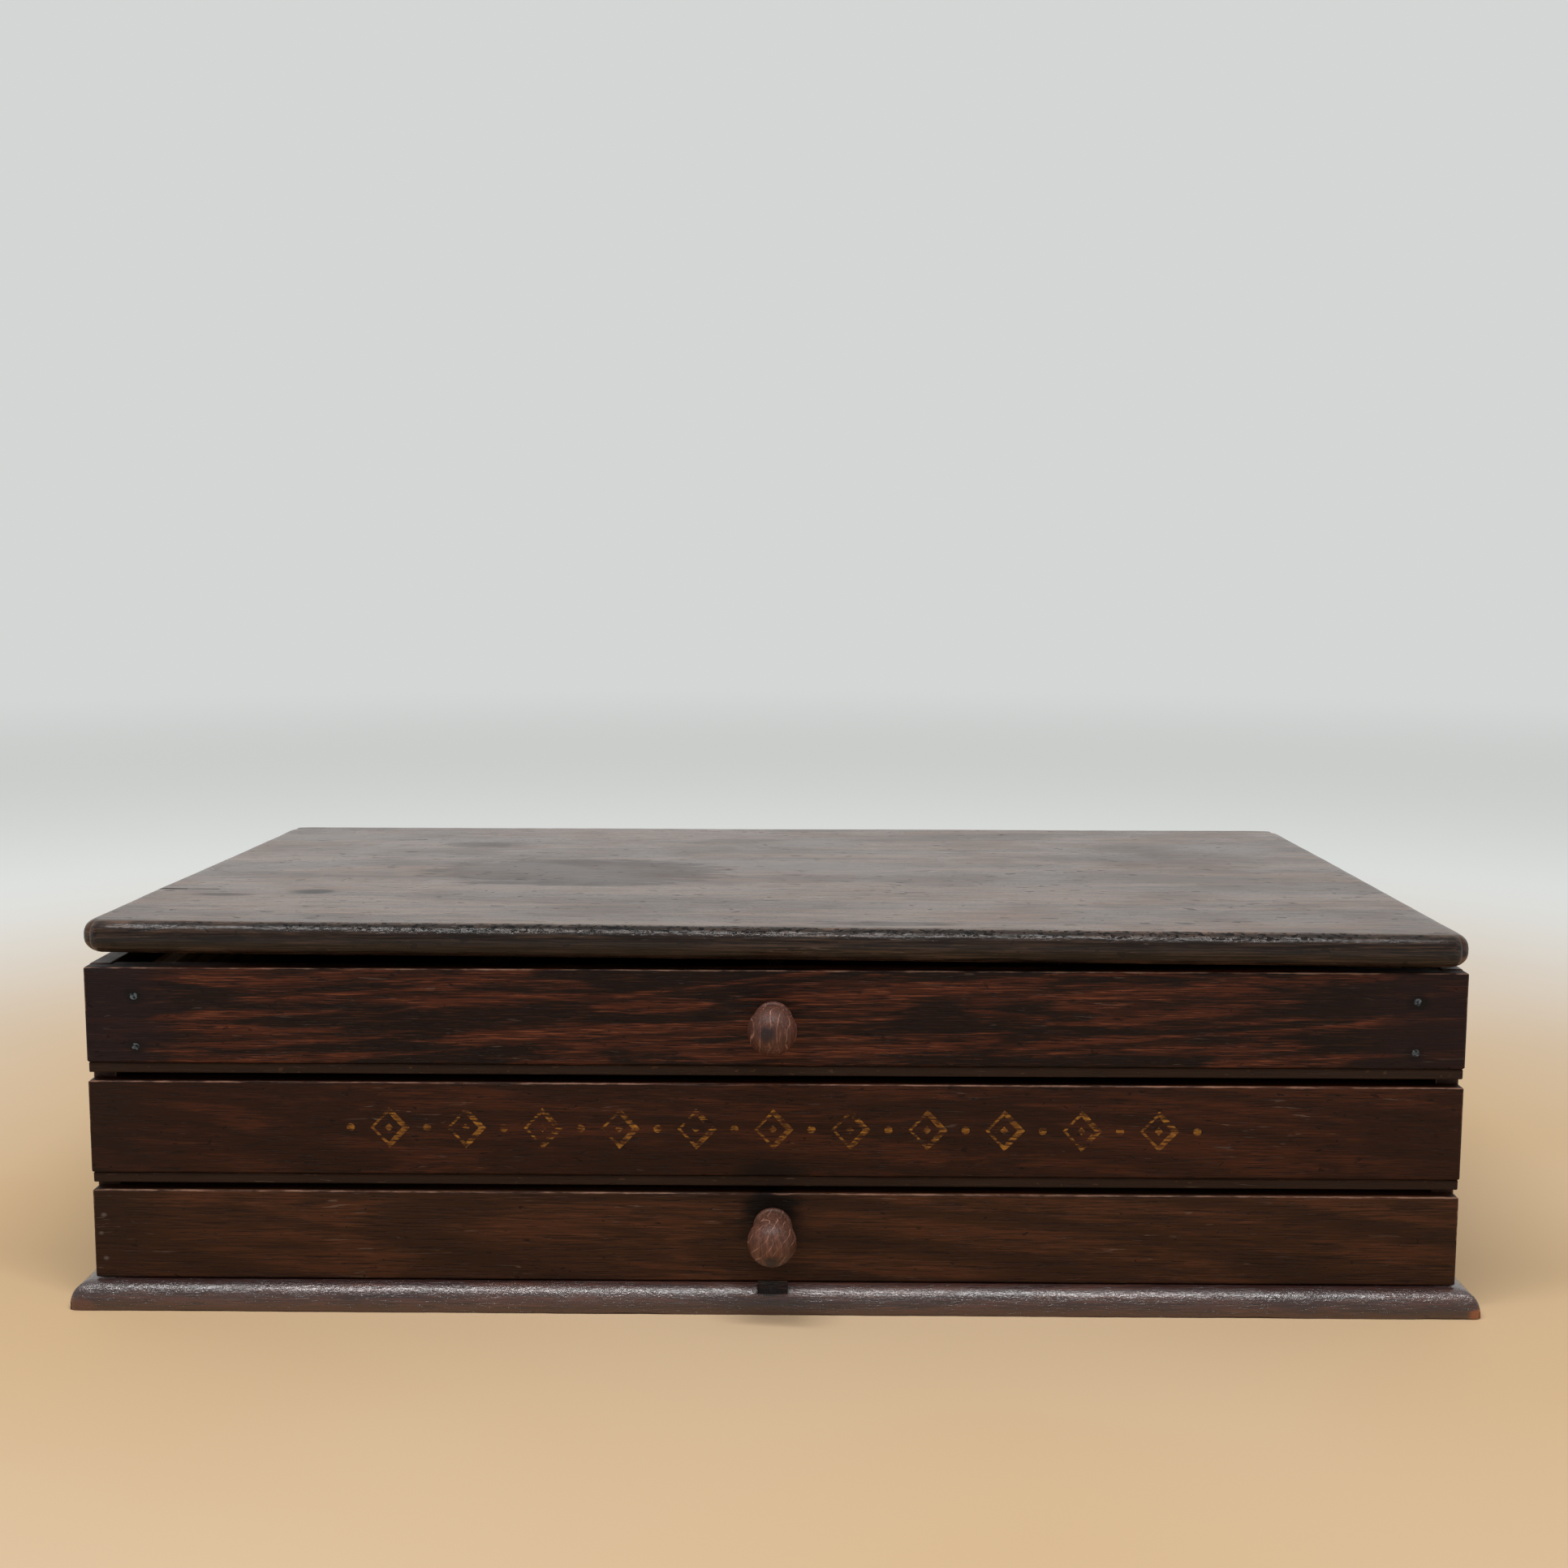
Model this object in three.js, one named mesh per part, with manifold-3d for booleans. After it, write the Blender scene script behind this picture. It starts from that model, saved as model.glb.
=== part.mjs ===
// A small three-drawer counter cabinet of stained oak for sewing notions.
// Millimetres, +Z up. Inside the cabinet group the plane y = 0 is the face of the drawer fronts,
// +Y runs to the back and z = 0 is the underside of the base board. The exported group moves all
// of it along Y, so that the origin is the bottom centre of the whole object.
import * as THREE from 'three';
import { mergeVertices } from 'three/addons/utils/BufferGeometryUtils.js';
import Module from 'manifold-3d';

const wasm = await Module();
wasm.setup();

// ---- driving dimensions -------------------------------------------------------------------

// carcase
const BODY_WIDTH = 428; // across the drawer fronts
const BODY_DEPTH = 233; // face of the drawer fronts to the back of the cabinet
const WALL = 7.2; // side boards
const BACK_THICKNESS = 8;
const BASE_THICKNESS = 8;
const BASE_OVERHANG = 6.6; // how far the moulding stands out in front and at the sides
const BASE_LIP = 1.3; // square edge left below the moulding
const NOTCH_WIDTH = 9.5; // thumb notch in the moulding, under the lower knob
const NOTCH_DEPTH = 1.9;
const NOTCH_REACH = 1.4; // how far the notch runs in behind the fronts

// lid
const LID_THICKNESS = 10.4;
const LID_OVERHANG_SIDE = 1;
const LID_OVERHANG_FRONT = 2;
const LID_EDGE_RADIUS = 4.3;
const LID_FRONT_CORNER = 5; // corner radii in plan
const LID_BACK_CORNER = 9;
const LID_LIFT_LEFT = 3.9; // the board has warped, and its front corners stand up
const LID_LIFT_RIGHT = 0.9;
const LID_FLAT_STRIP = 24; // the stretch along the hinges that has stayed flat

// drawers
const FRONT_THICKNESS = 8;
const FRONT_LIP = 4.5; // what the rebate leaves at each end, lapping over the carcase side
const BOTTOM_FRONT_HEIGHT = 28.7;
const MIDDLE_FRONT_HEIGHT = 29.6;
const TOP_FRONT_HEIGHT = 30.3;
const BOTTOM_BOARD = 3.2;
const DRAWER_SIDE = 8;
const DRAWER_BACK = 6;
const SIDE_BELOW_FRONT = 4.2; // the drawer sides stop this far under the top of the front
const BACK_BELOW_SIDE = 3;
const DIVIDER = 4;
const DIVIDER_BELOW_SIDE = 4;
const DIVIDERS = 3; // per drawer
const HOUSING_DEPTH = 3; // groove in the lowest drawer's sides and front for its bottom
const BOTTOM_SET_UP = 2.5; // height of that bottom above the lower edge of the sides
const RUNNER_GROOVE = 3.6; // depth of the grooves in the carcase sides

// turned knobs
const KNOB_RADIUS = 7.6;
const KNOB_COLLAR_RADIUS = 6.2;
const KNOB_NECK_RADIUS = 5;
const KNOB_CENTRE_OUT = 14.2; // centre of the ball in front of the drawer front
const TOP_KNOB_RAISE = -0.4; // above or below the middle of the front
const BOTTOM_KNOB_RAISE = 4;

// hinges
const HINGE_LENGTH = 38;
const HINGE_PLACE = 0.33; // centre of each hinge, as a share of the body width from the middle
const LEAF = 1.2;
const LEAF_WIDTH = 6.6;
const BARREL_RADIUS = 2.2;
const PIN_RADIUS = 0.95;
const HINGE_SCREW_SPACING = 24;

// clearances
const GLUE = 0.1; // glued faces
const FIT = 0.3; // cut and turned neighbours
const RUN = 0.4; // sliding faces
const SLIDE_SIDE = 0.8; // lowest drawer to the carcase sides
const SIDE_STAND_OFF = 4.3; // upper drawers' sides to the carcase sides
const DRAWER_BACK_GAP = 4;
const LOWER_GAP = 2.2; // between the lowest front and the middle one
const UPPER_GAP = 2.5; // between the middle front and the top one
const LID_GAP = 0.5; // top front to the flat of the lid

// fasteners: head radius, head height, shank radius, length under the head
const BASE_SCREW = { head: 3.2, rise: 2.2, shank: 1.5, length: 22 };
const HINGE_SCREW = { head: 1.7, rise: 0.9, shank: 0.8, length: 6.5 };
const KNOB_SCREW = { head: 3, rise: 1.6, shank: 1.5, length: 15 };
const NAIL = { head: 1.15, rise: 0.5, shank: 0.7, length: 21 };
const NAIL_SHARES = [0.17, 0.7]; // nail heights, as shares of the top front's height
const ROUND = 20; // sides of a small turned piece

// ---- worked-out places --------------------------------------------------------------------

const halfBody = BODY_WIDTH / 2;
const wallFront = FRONT_LIP + FIT;
const wallInner = halfBody - WALL;
const backFace = BODY_DEPTH - BACK_THICKNESS;
const drawerEnd = backFace - DRAWER_BACK_GAP;

const bottomTier = { z: BASE_THICKNESS + FIT, height: BOTTOM_FRONT_HEIGHT };
bottomTier.top = bottomTier.z + bottomTier.height;
const middleTier = upperTier(bottomTier.top + LOWER_GAP, MIDDLE_FRONT_HEIGHT);
const topTier = upperTier(middleTier.top + UPPER_GAP, TOP_FRONT_HEIGHT);

const lidUnder = topTier.top + LID_GAP;
const wallTop = lidUnder - FIT;
const hingeZ = lidUnder - FIT / 2;
const hingeY = BODY_DEPTH + BARREL_RADIUS + 0.2;
const hingeX = HINGE_PLACE * BODY_WIDTH;
const leafInner = BODY_DEPTH - LEAF_WIDTH;
const leafScrewY = BODY_DEPTH - LEAF_WIDTH / 2;
const knobReach = KNOB_CENTRE_OUT + KNOB_RADIUS + GLUE;
const centreY = (hingeY + BARREL_RADIUS - knobReach) / 2;

function upperTier(stripZ, height) {
  const z = stripZ + BOTTOM_BOARD + GLUE;
  return { strip: stripZ, z, height, top: z + height };
}

// ---- materials ----------------------------------------------------------------------------

const finish = (color, roughness, metalness = 0) =>
  new THREE.MeshStandardMaterial({ color, roughness, metalness });

const darkOak = finish(0x4a2a1c, 0.38);
const lidOak = finish(0x4c3c34, 0.34);
const baseWood = finish(0x33201b, 0.32);
const wallWood = finish(0x5a4a38, 0.5);
const innerWood = finish(0xa98a62, 0.7);
const knobWood = finish(0x8a5f3c, 0.6);
const brass = finish(0xa98a4a, 0.35, 1);
const steel = finish(0x6e7074, 0.45, 1);

// ---- solids -------------------------------------------------------------------------------

// Turns a closed geometry into a solid that can be joined and cut.
function solid(geometry) {
  const flat = geometry.clone();
  flat.deleteAttribute('normal');
  flat.deleteAttribute('uv');
  const merged = mergeVertices(flat, 1e-4);
  return new wasm.Manifold(new wasm.Mesh({
    numProp: 3,
    vertProperties: merged.attributes.position.array,
    triVerts: Uint32Array.from(merged.index.array),
  }));
}

// Turns a solid back into a geometry.
function geometryOf(body) {
  const mesh = body.getMesh();
  const geometry = new THREE.BufferGeometry();
  geometry.setAttribute('position', new THREE.BufferAttribute(mesh.vertProperties, 3));
  geometry.setIndex(new THREE.BufferAttribute(mesh.triVerts, 1));
  geometry.computeVertexNormals();
  return geometry;
}

// A box between two corners.
function block(x0, y0, z0, x1, y1, z1) {
  const geometry = new THREE.BoxGeometry(x1 - x0, y1 - y0, z1 - z0);
  geometry.translate((x0 + x1) / 2, (y0 + y1) / 2, (z0 + z1) / 2);
  return solid(geometry);
}

// A turned piece on the Z axis from [radius, height] points that start and end on the axis.
function turned(points, sides = ROUND) {
  const outline = points.map(([r, h]) => new THREE.Vector2(r, h));
  return solid(new THREE.LatheGeometry(outline, sides).rotateX(Math.PI / 2));
}

// A rod along Z from z0 to z1.
function rod(radius, z0, z1, sides = ROUND) {
  return turned([[0, z0], [radius, z0], [radius, z1], [0, z1]], sides);
}

// Points on a quarter or half circle in a profile.
function arc(centreR, centreH, radius, from, to, steps) {
  const points = [];
  for (let i = 0; i <= steps; i += 1) {
    const angle = from + ((to - from) * i) / steps;
    points.push([centreR + radius * Math.cos(angle), centreH + radius * Math.sin(angle)]);
  }
  return points;
}

// Turns a piece made along +Z, so that it points along another axis, and puts it in place.
function placed(body, aim, x, y, z) {
  const turns = { up: [0, 0, 0], down: [180, 0, 0], front: [90, 0, 0], back: [-90, 0, 0], right: [0, 90, 0] };
  return body.rotate(turns[aim]).translate([x, y, z]);
}

function union(bodies) {
  return bodies.reduce((whole, body) => whole.add(body));
}

function without(body, cuts) {
  return cuts.reduce((left, cut) => left.subtract(cut), body);
}

const parts = [];

function addPart(name, body, material) {
  const mesh = new THREE.Mesh(geometryOf(body), material);
  mesh.name = name;
  parts.push(mesh);
}

// ---- fasteners ----------------------------------------------------------------------------

// A countersunk screw on the Z axis: the head's face is at z = 0 and the point is up at +Z.
function countersunkScrew({ head, rise, shank, length }) {
  const body = turned([
    [0, 0], [head, 0], [head, rise * 0.2], [shank, rise], [shank, length - shank * 1.5], [0, length],
  ]);
  const slot = block(-head, -head * 0.11, -1, head, head * 0.11, rise * 0.4);
  return body.subtract(slot);
}

// The hole that such a screw sits in.
function screwHole({ head, rise, shank, length }) {
  return turned([
    [0, -1], [head + FIT, -1], [head + FIT, rise * 0.2 + FIT], [shank + FIT, rise + FIT],
    [shank + FIT, length + FIT], [0, length + FIT],
  ]);
}

// A nail on the Z axis: the face of its head is at z = 0 and the point is up at +Z.
function nail({ head, rise, shank, length }) {
  return turned([
    [0, 0], [head, 0], [head, rise], [shank, rise], [shank, length - shank * 3], [0, length],
  ], 12);
}

function nailHole({ head, rise, shank, length }) {
  return turned([
    [0, -1], [head + FIT, -1], [head + FIT, rise + FIT], [shank + FIT, rise + FIT],
    [shank + FIT, length + FIT], [0, length + FIT],
  ], 12);
}

// ---- carcase ------------------------------------------------------------------------------

const screwPlaces = [];
for (const [side, sign] of [['left', -1], ['right', 1]]) {
  for (const [row, share] of [['front', 0.17], ['rear', 0.84]]) {
    screwPlaces.push({
      name: `base_screw_${side}_${row}`,
      sign,
      x: sign * (halfBody - WALL / 2),
      y: share * BODY_DEPTH,
    });
  }
}

// A quarter-round moulding on three sides above a square lip, square at the back.
function baseBoard() {
  const half = halfBody + BASE_OVERHANG;
  const front = -BASE_OVERHANG;
  const rise = BASE_THICKNESS - BASE_LIP;
  const plan = new THREE.Shape();
  const inner = halfBody + 0.8;
  plan.moveTo(-inner, -0.8);
  plan.lineTo(inner, -0.8);
  plan.lineTo(inner, BODY_DEPTH + BASE_OVERHANG);
  plan.lineTo(-inner, BODY_DEPTH + BASE_OVERHANG);
  plan.closePath();
  const moulding = solid(new THREE.ExtrudeGeometry(plan, {
    depth: 1,
    bevelEnabled: true,
    bevelThickness: rise,
    bevelSize: half - inner,
    bevelSegments: 7,
  })).translate([0, 0, BASE_THICKNESS - rise - 1]);
  const keep = block(-half - 1, front - 1, BASE_LIP, half + 1, BODY_DEPTH, BASE_THICKNESS + 1);
  const lip = block(-half - 0.2, front - 0.2, 0, half + 0.2, BODY_DEPTH, BASE_LIP + 0.01);
  const notch = block(
    -NOTCH_WIDTH / 2, front - 1, BASE_THICKNESS - NOTCH_DEPTH,
    NOTCH_WIDTH / 2, NOTCH_REACH, BASE_THICKNESS + 1,
  );
  const holes = screwPlaces.map(({ x, y }) => placed(screwHole(BASE_SCREW), 'up', x, y, 0.4));
  return without(moulding.intersect(keep).add(lip), [notch, ...holes]);
}

// A side board with a runner groove for each of the two upper drawers.
function sideWall(sign) {
  const inner = sign * wallInner;
  const outer = sign * halfBody;
  const [x0, x1] = [Math.min(inner, outer), Math.max(inner, outer)];
  const board = block(x0, wallFront, BASE_THICKNESS + GLUE, x1, BODY_DEPTH, wallTop);
  const grooves = [middleTier, topTier].map(({ strip }) => {
    const edges = [sign * (wallInner - 1), sign * (wallInner + RUNNER_GROOVE)].sort((a, b) => a - b);
    return block(edges[0], wallFront - 1, strip - RUN, edges[1], backFace - 1, strip + BOTTOM_BOARD + RUN);
  });
  const holes = screwPlaces.filter((place) => place.sign === sign)
    .map(({ x, y }) => placed(screwHole(BASE_SCREW), 'up', x, y, 0.4));
  return without(board, [...grooves, ...holes]);
}

// The back stands between the sides and carries the fixed hinge leaves.
function backPanel() {
  const board = block(
    -wallInner + GLUE, backFace, BASE_THICKNESS + GLUE, wallInner - GLUE, BODY_DEPTH, wallTop,
  );
  return without(board, hingePockets(wallTop - LEAF - GLUE, wallTop + 1).concat(leafScrewHoles('down')));
}

// ---- hinges -------------------------------------------------------------------------------

function hingePockets(z0, z1) {
  return [-1, 1].map((sign) => block(
    sign * hingeX - HINGE_LENGTH / 2 - FIT, leafInner - FIT, z0,
    sign * hingeX + HINGE_LENGTH / 2 + FIT, BODY_DEPTH + 1, z1,
  ));
}

function leafScrewXs(sign) {
  return [-1, 1].map((end) => sign * hingeX + (end * HINGE_SCREW_SPACING) / 2);
}

// Height of the screw heads of a leaf: the faces that look at each other across the joint.
function leafFace(aim) {
  return aim === 'down' ? wallTop : lidUnder;
}

function leafScrewHoles(aim) {
  return [-1, 1].flatMap((sign) => leafScrewXs(sign)
    .map((x) => placed(screwHole(HINGE_SCREW), aim, x, leafScrewY, leafFace(aim))));
}

// Knuckles alternate along the barrel: the fixed leaf has the outer two, the moving leaf the
// middle one.
function hingeLeaf(sign, aim) {
  const third = HINGE_LENGTH / 3;
  const middle = sign * hingeX;
  const spans = aim === 'down'
    ? [[middle - third * 1.5, middle - third / 2 - FIT], [middle + third / 2 + FIT, middle + third * 1.5]]
    : [[middle - third / 2, middle + third / 2]];
  const z0 = aim === 'down' ? wallTop - LEAF : lidUnder;
  const plateEnd = hingeY - BARREL_RADIUS - FIT;
  const plate = block(
    middle - HINGE_LENGTH / 2, leafInner, z0, middle + HINGE_LENGTH / 2, plateEnd, z0 + LEAF,
  );
  const knuckles = spans.map(([x0, x1]) => {
    const barrel = placed(rod(BARREL_RADIUS, 0, x1 - x0), 'right', x0, hingeY, hingeZ);
    return barrel.add(block(x0, plateEnd - 0.5, z0, x1, hingeY, z0 + LEAF));
  });
  const bore = placed(rod(PIN_RADIUS + FIT, -1, HINGE_LENGTH + 1), 'right', middle - HINGE_LENGTH / 2, hingeY, hingeZ);
  const holes = leafScrewXs(sign).map((x) => placed(screwHole(HINGE_SCREW), aim, x, leafScrewY, leafFace(aim)));
  return without(union([plate, ...knuckles]), [bore, ...holes]);
}

function hingePin(sign) {
  const start = sign * hingeX - HINGE_LENGTH / 2;
  return placed(rod(PIN_RADIUS, 0, HINGE_LENGTH), 'right', start, hingeY, hingeZ);
}

// ---- lid ----------------------------------------------------------------------------------

// How far the warp lifts the lid at a place: nothing along the hinges, most at the front corners.
function lidLift(x, y) {
  const reach = BODY_DEPTH - LID_FLAT_STRIP + LID_OVERHANG_FRONT;
  const forward = THREE.MathUtils.clamp((BODY_DEPTH - LID_FLAT_STRIP - y) / reach, 0, 1);
  const across = (x + halfBody) / BODY_WIDTH;
  return forward * THREE.MathUtils.lerp(LID_LIFT_LEFT, LID_LIFT_RIGHT, across);
}

function roundedPlan(x, y0, y1, frontRadius, backRadius) {
  const plan = new THREE.Shape();
  plan.moveTo(-x + frontRadius, y0);
  plan.lineTo(x - frontRadius, y0);
  plan.quadraticCurveTo(x, y0, x, y0 + frontRadius);
  plan.lineTo(x, y1 - backRadius);
  plan.quadraticCurveTo(x, y1, x - backRadius, y1);
  plan.lineTo(-x + backRadius, y1);
  plan.quadraticCurveTo(-x, y1, -x, y1 - backRadius);
  plan.lineTo(-x, y0 + frontRadius);
  plan.quadraticCurveTo(-x, y0, -x + frontRadius, y0);
  return plan;
}

// One board, rounded over in front and at the ends and square at the back, where the hinges are.
function lidBoard() {
  const half = halfBody + LID_OVERHANG_SIDE;
  const front = -LID_OVERHANG_FRONT;
  const past = BODY_DEPTH + 3 * LID_EDGE_RADIUS;
  const inset = LID_EDGE_RADIUS;
  const core = roundedPlan(half - inset, front + inset, past, LID_FRONT_CORNER, LID_BACK_CORNER);
  const board = solid(new THREE.ExtrudeGeometry(core, {
    depth: LID_THICKNESS - 2 * LID_EDGE_RADIUS,
    bevelEnabled: true,
    bevelThickness: LID_EDGE_RADIUS,
    bevelSize: LID_EDGE_RADIUS,
    bevelSegments: 5,
    curveSegments: 5,
  })).translate([0, 0, lidUnder + LID_EDGE_RADIUS]);
  const outline = roundedPlan(half + 1, front - 1, BODY_DEPTH, 1, LID_BACK_CORNER);
  const trim = solid(new THREE.ExtrudeGeometry(outline, {
    depth: LID_THICKNESS + 2,
    bevelEnabled: false,
    curveSegments: 6,
  })).translate([0, 0, lidUnder - 1]);
  const cuts = hingePockets(lidUnder - 1, lidUnder + LEAF + GLUE).concat(leafScrewHoles('up'));
  const cutBoard = without(board.intersect(trim), cuts);
  return cutBoard.warp((point) => {
    point[2] += lidLift(point[0], point[1]);
  });
}

// ---- knobs --------------------------------------------------------------------------------

// Turned on the Z axis, standing on z = 0, with a hole for its screw.
function knob() {
  const neckAngle = -Math.acos(KNOB_NECK_RADIUS / KNOB_RADIUS);
  const collar = [
    [0, 0], [KNOB_COLLAR_RADIUS - 0.9, 0], [KNOB_COLLAR_RADIUS - 0.2, 0.5], [KNOB_COLLAR_RADIUS, 1.3],
    [KNOB_COLLAR_RADIUS - 0.3, 2.1], [KNOB_NECK_RADIUS, 2.9],
  ];
  const ball = arc(0, KNOB_CENTRE_OUT, KNOB_RADIUS, neckAngle, Math.PI / 2, 14);
  ball[ball.length - 1][0] = 0;
  const screwDepth = KNOB_SCREW.length - FRONT_THICKNESS;
  const hole = rod(KNOB_SCREW.shank + FIT, -1, screwDepth + FIT, 16);
  return turned([...collar, ...ball], 32).subtract(hole);
}

// A round-headed screw on the Z axis: its head lies below z = 0 and its shank goes up.
function knobScrew() {
  const { head, rise, shank, length } = KNOB_SCREW;
  const body = turned([
    [0, -rise], [head * 0.6, -rise], [head, -rise * 0.4], [head, 0], [shank, 0],
    [shank, length - shank], [0, length],
  ]);
  return body.subtract(block(-head, -0.35, -rise - 1, head, 0.35, -rise * 0.5));
}

function addKnob(drawer, z) {
  addPart(`${drawer}_knob`, placed(knob(), 'front', 0, -GLUE, z), knobWood);
  addPart(`${drawer}_knob_screw`, placed(knobScrew(), 'front', 0, FRONT_THICKNESS + GLUE, z), steel);
}

function knobHole(z) {
  return placed(rod(KNOB_SCREW.shank + FIT, -1, FRONT_THICKNESS + 2), 'front', 0, FRONT_THICKNESS + 1, z);
}

// ---- drawers ------------------------------------------------------------------------------

// A front board whose ends are cut back behind, so that they lap over the carcase sides.
function drawerFront({ z, top }) {
  const board = block(-halfBody, 0, z, halfBody, FRONT_THICKNESS, top);
  const rebates = [-1, 1].map((sign) => {
    const edges = [sign * (wallInner - RUN), sign * (halfBody + 1)].sort((a, b) => a - b);
    return block(edges[0], FRONT_LIP, z - 1, edges[1], FRONT_THICKNESS + 1, top + 1);
  });
  return without(board, rebates);
}

// The sides, back and partitions that stand behind a front. `standOff` is the room between the
// drawer's sides and the carcase, `floor` the top of the drawer's bottom board.
function addDrawerBox(drawer, tier, standOff, sideZ, floor, sideCuts) {
  const sideOuter = wallInner - standOff;
  const sideInner = sideOuter - DRAWER_SIDE;
  const sideTop = tier.top - SIDE_BELOW_FRONT;
  for (const [name, sign] of [['left', -1], ['right', 1]]) {
    const edges = [sign * sideInner, sign * sideOuter].sort((a, b) => a - b);
    const board = block(edges[0], FRONT_THICKNESS + GLUE, sideZ, edges[1], drawerEnd, sideTop);
    addPart(`${drawer}_side_${name}`, without(board, sideCuts), innerWood);
  }
  const backFront = drawerEnd - DRAWER_BACK;
  addPart(`${drawer}_back`, block(
    -sideInner + GLUE, backFront, floor + GLUE, sideInner - GLUE, drawerEnd, sideTop - BACK_BELOW_SIDE,
  ), innerWood);
  const pitch = (2 * sideInner) / (DIVIDERS + 1);
  for (let i = 0; i < DIVIDERS; i += 1) {
    const x = -sideInner + pitch * (i + 1);
    addPart(`${drawer}_divider_${i + 1}`, block(
      x - DIVIDER / 2, FRONT_THICKNESS + GLUE + (i === 1 ? KNOB_SCREW.rise + FIT : 0), floor + GLUE,
      x + DIVIDER / 2, backFront - GLUE, sideTop - DIVIDER_BELOW_SIDE,
    ), innerWood);
  }
}

// An upper drawer's bottom shows under its front over the full width, then narrows to run in the
// grooves of the carcase sides.
function runnerBottom({ strip }) {
  const half = wallInner + RUNNER_GROOVE - RUN;
  const tongue = block(-half, FRONT_LIP - 0.5, strip, half, drawerEnd, strip + BOTTOM_BOARD);
  const edge = block(-halfBody + 0.4, 0.4, strip, halfBody - 0.4, FRONT_LIP, strip + BOTTOM_BOARD);
  return tongue.add(edge);
}

function addUpperDrawer(drawer, tier, frontCuts, sideCuts) {
  addPart(`${drawer}_front`, without(drawerFront(tier), frontCuts), darkOak);
  addPart(`${drawer}_bottom`, runnerBottom(tier), wallWood);
  addDrawerBox(drawer, tier, SIDE_STAND_OFF, tier.z, tier.z - GLUE, sideCuts);
}

// The lowest drawer stands on the base board, with its bottom let into grooves.
function addLowestDrawer(knobZ) {
  const { z } = bottomTier;
  const sideInner = wallInner - SLIDE_SIDE - DRAWER_SIDE;
  const boardZ = z + BOTTOM_SET_UP;
  const groove = block(
    -sideInner - HOUSING_DEPTH, FRONT_THICKNESS - HOUSING_DEPTH, boardZ - FIT,
    sideInner + HOUSING_DEPTH, drawerEnd + 1, boardZ + BOTTOM_BOARD + FIT,
  );
  addPart('bottom_drawer_front', without(drawerFront(bottomTier), [groove, knobHole(knobZ)]), darkOak);
  addPart('bottom_drawer_bottom', block(
    -sideInner - HOUSING_DEPTH + FIT, FRONT_THICKNESS - HOUSING_DEPTH + FIT, boardZ,
    sideInner + HOUSING_DEPTH - FIT, drawerEnd - FIT, boardZ + BOTTOM_BOARD,
  ), wallWood);
  addDrawerBox('bottom_drawer', bottomTier, SLIDE_SIDE, z, boardZ + BOTTOM_BOARD, [groove]);
}

// ---- assembly -----------------------------------------------------------------------------

function addCarcase() {
  addPart('base_board', baseBoard(), baseWood);
  addPart('left_side', sideWall(-1), wallWood);
  addPart('right_side', sideWall(1), wallWood);
  addPart('back_panel', backPanel(), wallWood);
  for (const { name, x, y } of screwPlaces) {
    addPart(name, placed(countersunkScrew(BASE_SCREW), 'up', x, y, 0.4), steel);
  }
}

function addLid() {
  addPart('lid_board', lidBoard(), lidOak);
  for (const [side, sign] of [['left', -1], ['right', 1]]) {
    addPart(`hinge_${side}_fixed_leaf`, hingeLeaf(sign, 'down'), brass);
    addPart(`hinge_${side}_moving_leaf`, hingeLeaf(sign, 'up'), brass);
    addPart(`hinge_${side}_pin`, hingePin(sign), brass);
    for (const [leaf, aim] of [['fixed', 'down'], ['moving', 'up']]) {
      leafScrewXs(sign).forEach((x, i) => {
        const screw = placed(countersunkScrew(HINGE_SCREW), aim, x, leafScrewY, leafFace(aim));
        addPart(`hinge_${side}_${leaf}_screw_${i + 1}`, screw, brass);
      });
    }
  }
}

function addTopDrawer() {
  const knobZ = topTier.z + topTier.height / 2 + TOP_KNOB_RAISE;
  const nailX = wallInner - SIDE_STAND_OFF - DRAWER_SIDE / 2;
  const places = [['left', -1], ['right', 1]].flatMap(([side, sign]) => NAIL_SHARES.map((share, i) => ({
    name: `front_nail_${side}_${['lower', 'upper'][i]}`,
    x: sign * nailX,
    z: topTier.z + share * topTier.height,
  })));
  const holes = places.map(({ x, z }) => placed(nailHole(NAIL), 'back', x, GLUE, z));
  addUpperDrawer('top_drawer', topTier, [knobHole(knobZ), ...holes], holes);
  addKnob('top_drawer', knobZ);
  for (const { name, x, z } of places) {
    addPart(name, placed(nail(NAIL), 'back', x, GLUE, z), steel);
  }
}

function addBottomDrawer() {
  const knobZ = bottomTier.z + bottomTier.height / 2 + BOTTOM_KNOB_RAISE;
  addLowestDrawer(knobZ);
  addKnob('bottom_drawer', knobZ);
}

addCarcase();
addLid();
addTopDrawer();
addUpperDrawer('middle_drawer', middleTier, [], []);
addBottomDrawer();

const cabinet = new THREE.Group();
cabinet.add(...parts);
cabinet.position.y = -centreY;

const bobbinBox = new THREE.Group();
bobbinBox.add(cabinet);

export default bobbinBox;
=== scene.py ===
"""Visual model of a small three-drawer counter cabinet for sewing notions, in old stained oak.

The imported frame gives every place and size. Each sub-assembly is a class that builds its own
meshes from the frame's boxes and dresses them, and each finish is a frozen dataclass.
"""
import logging
import math
from dataclasses import dataclass, replace
from enum import Enum
from typing import Callable, Optional, Sequence, Union

import bmesh
import bpy
import numpy as np
from mathutils import Matrix, Vector


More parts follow.
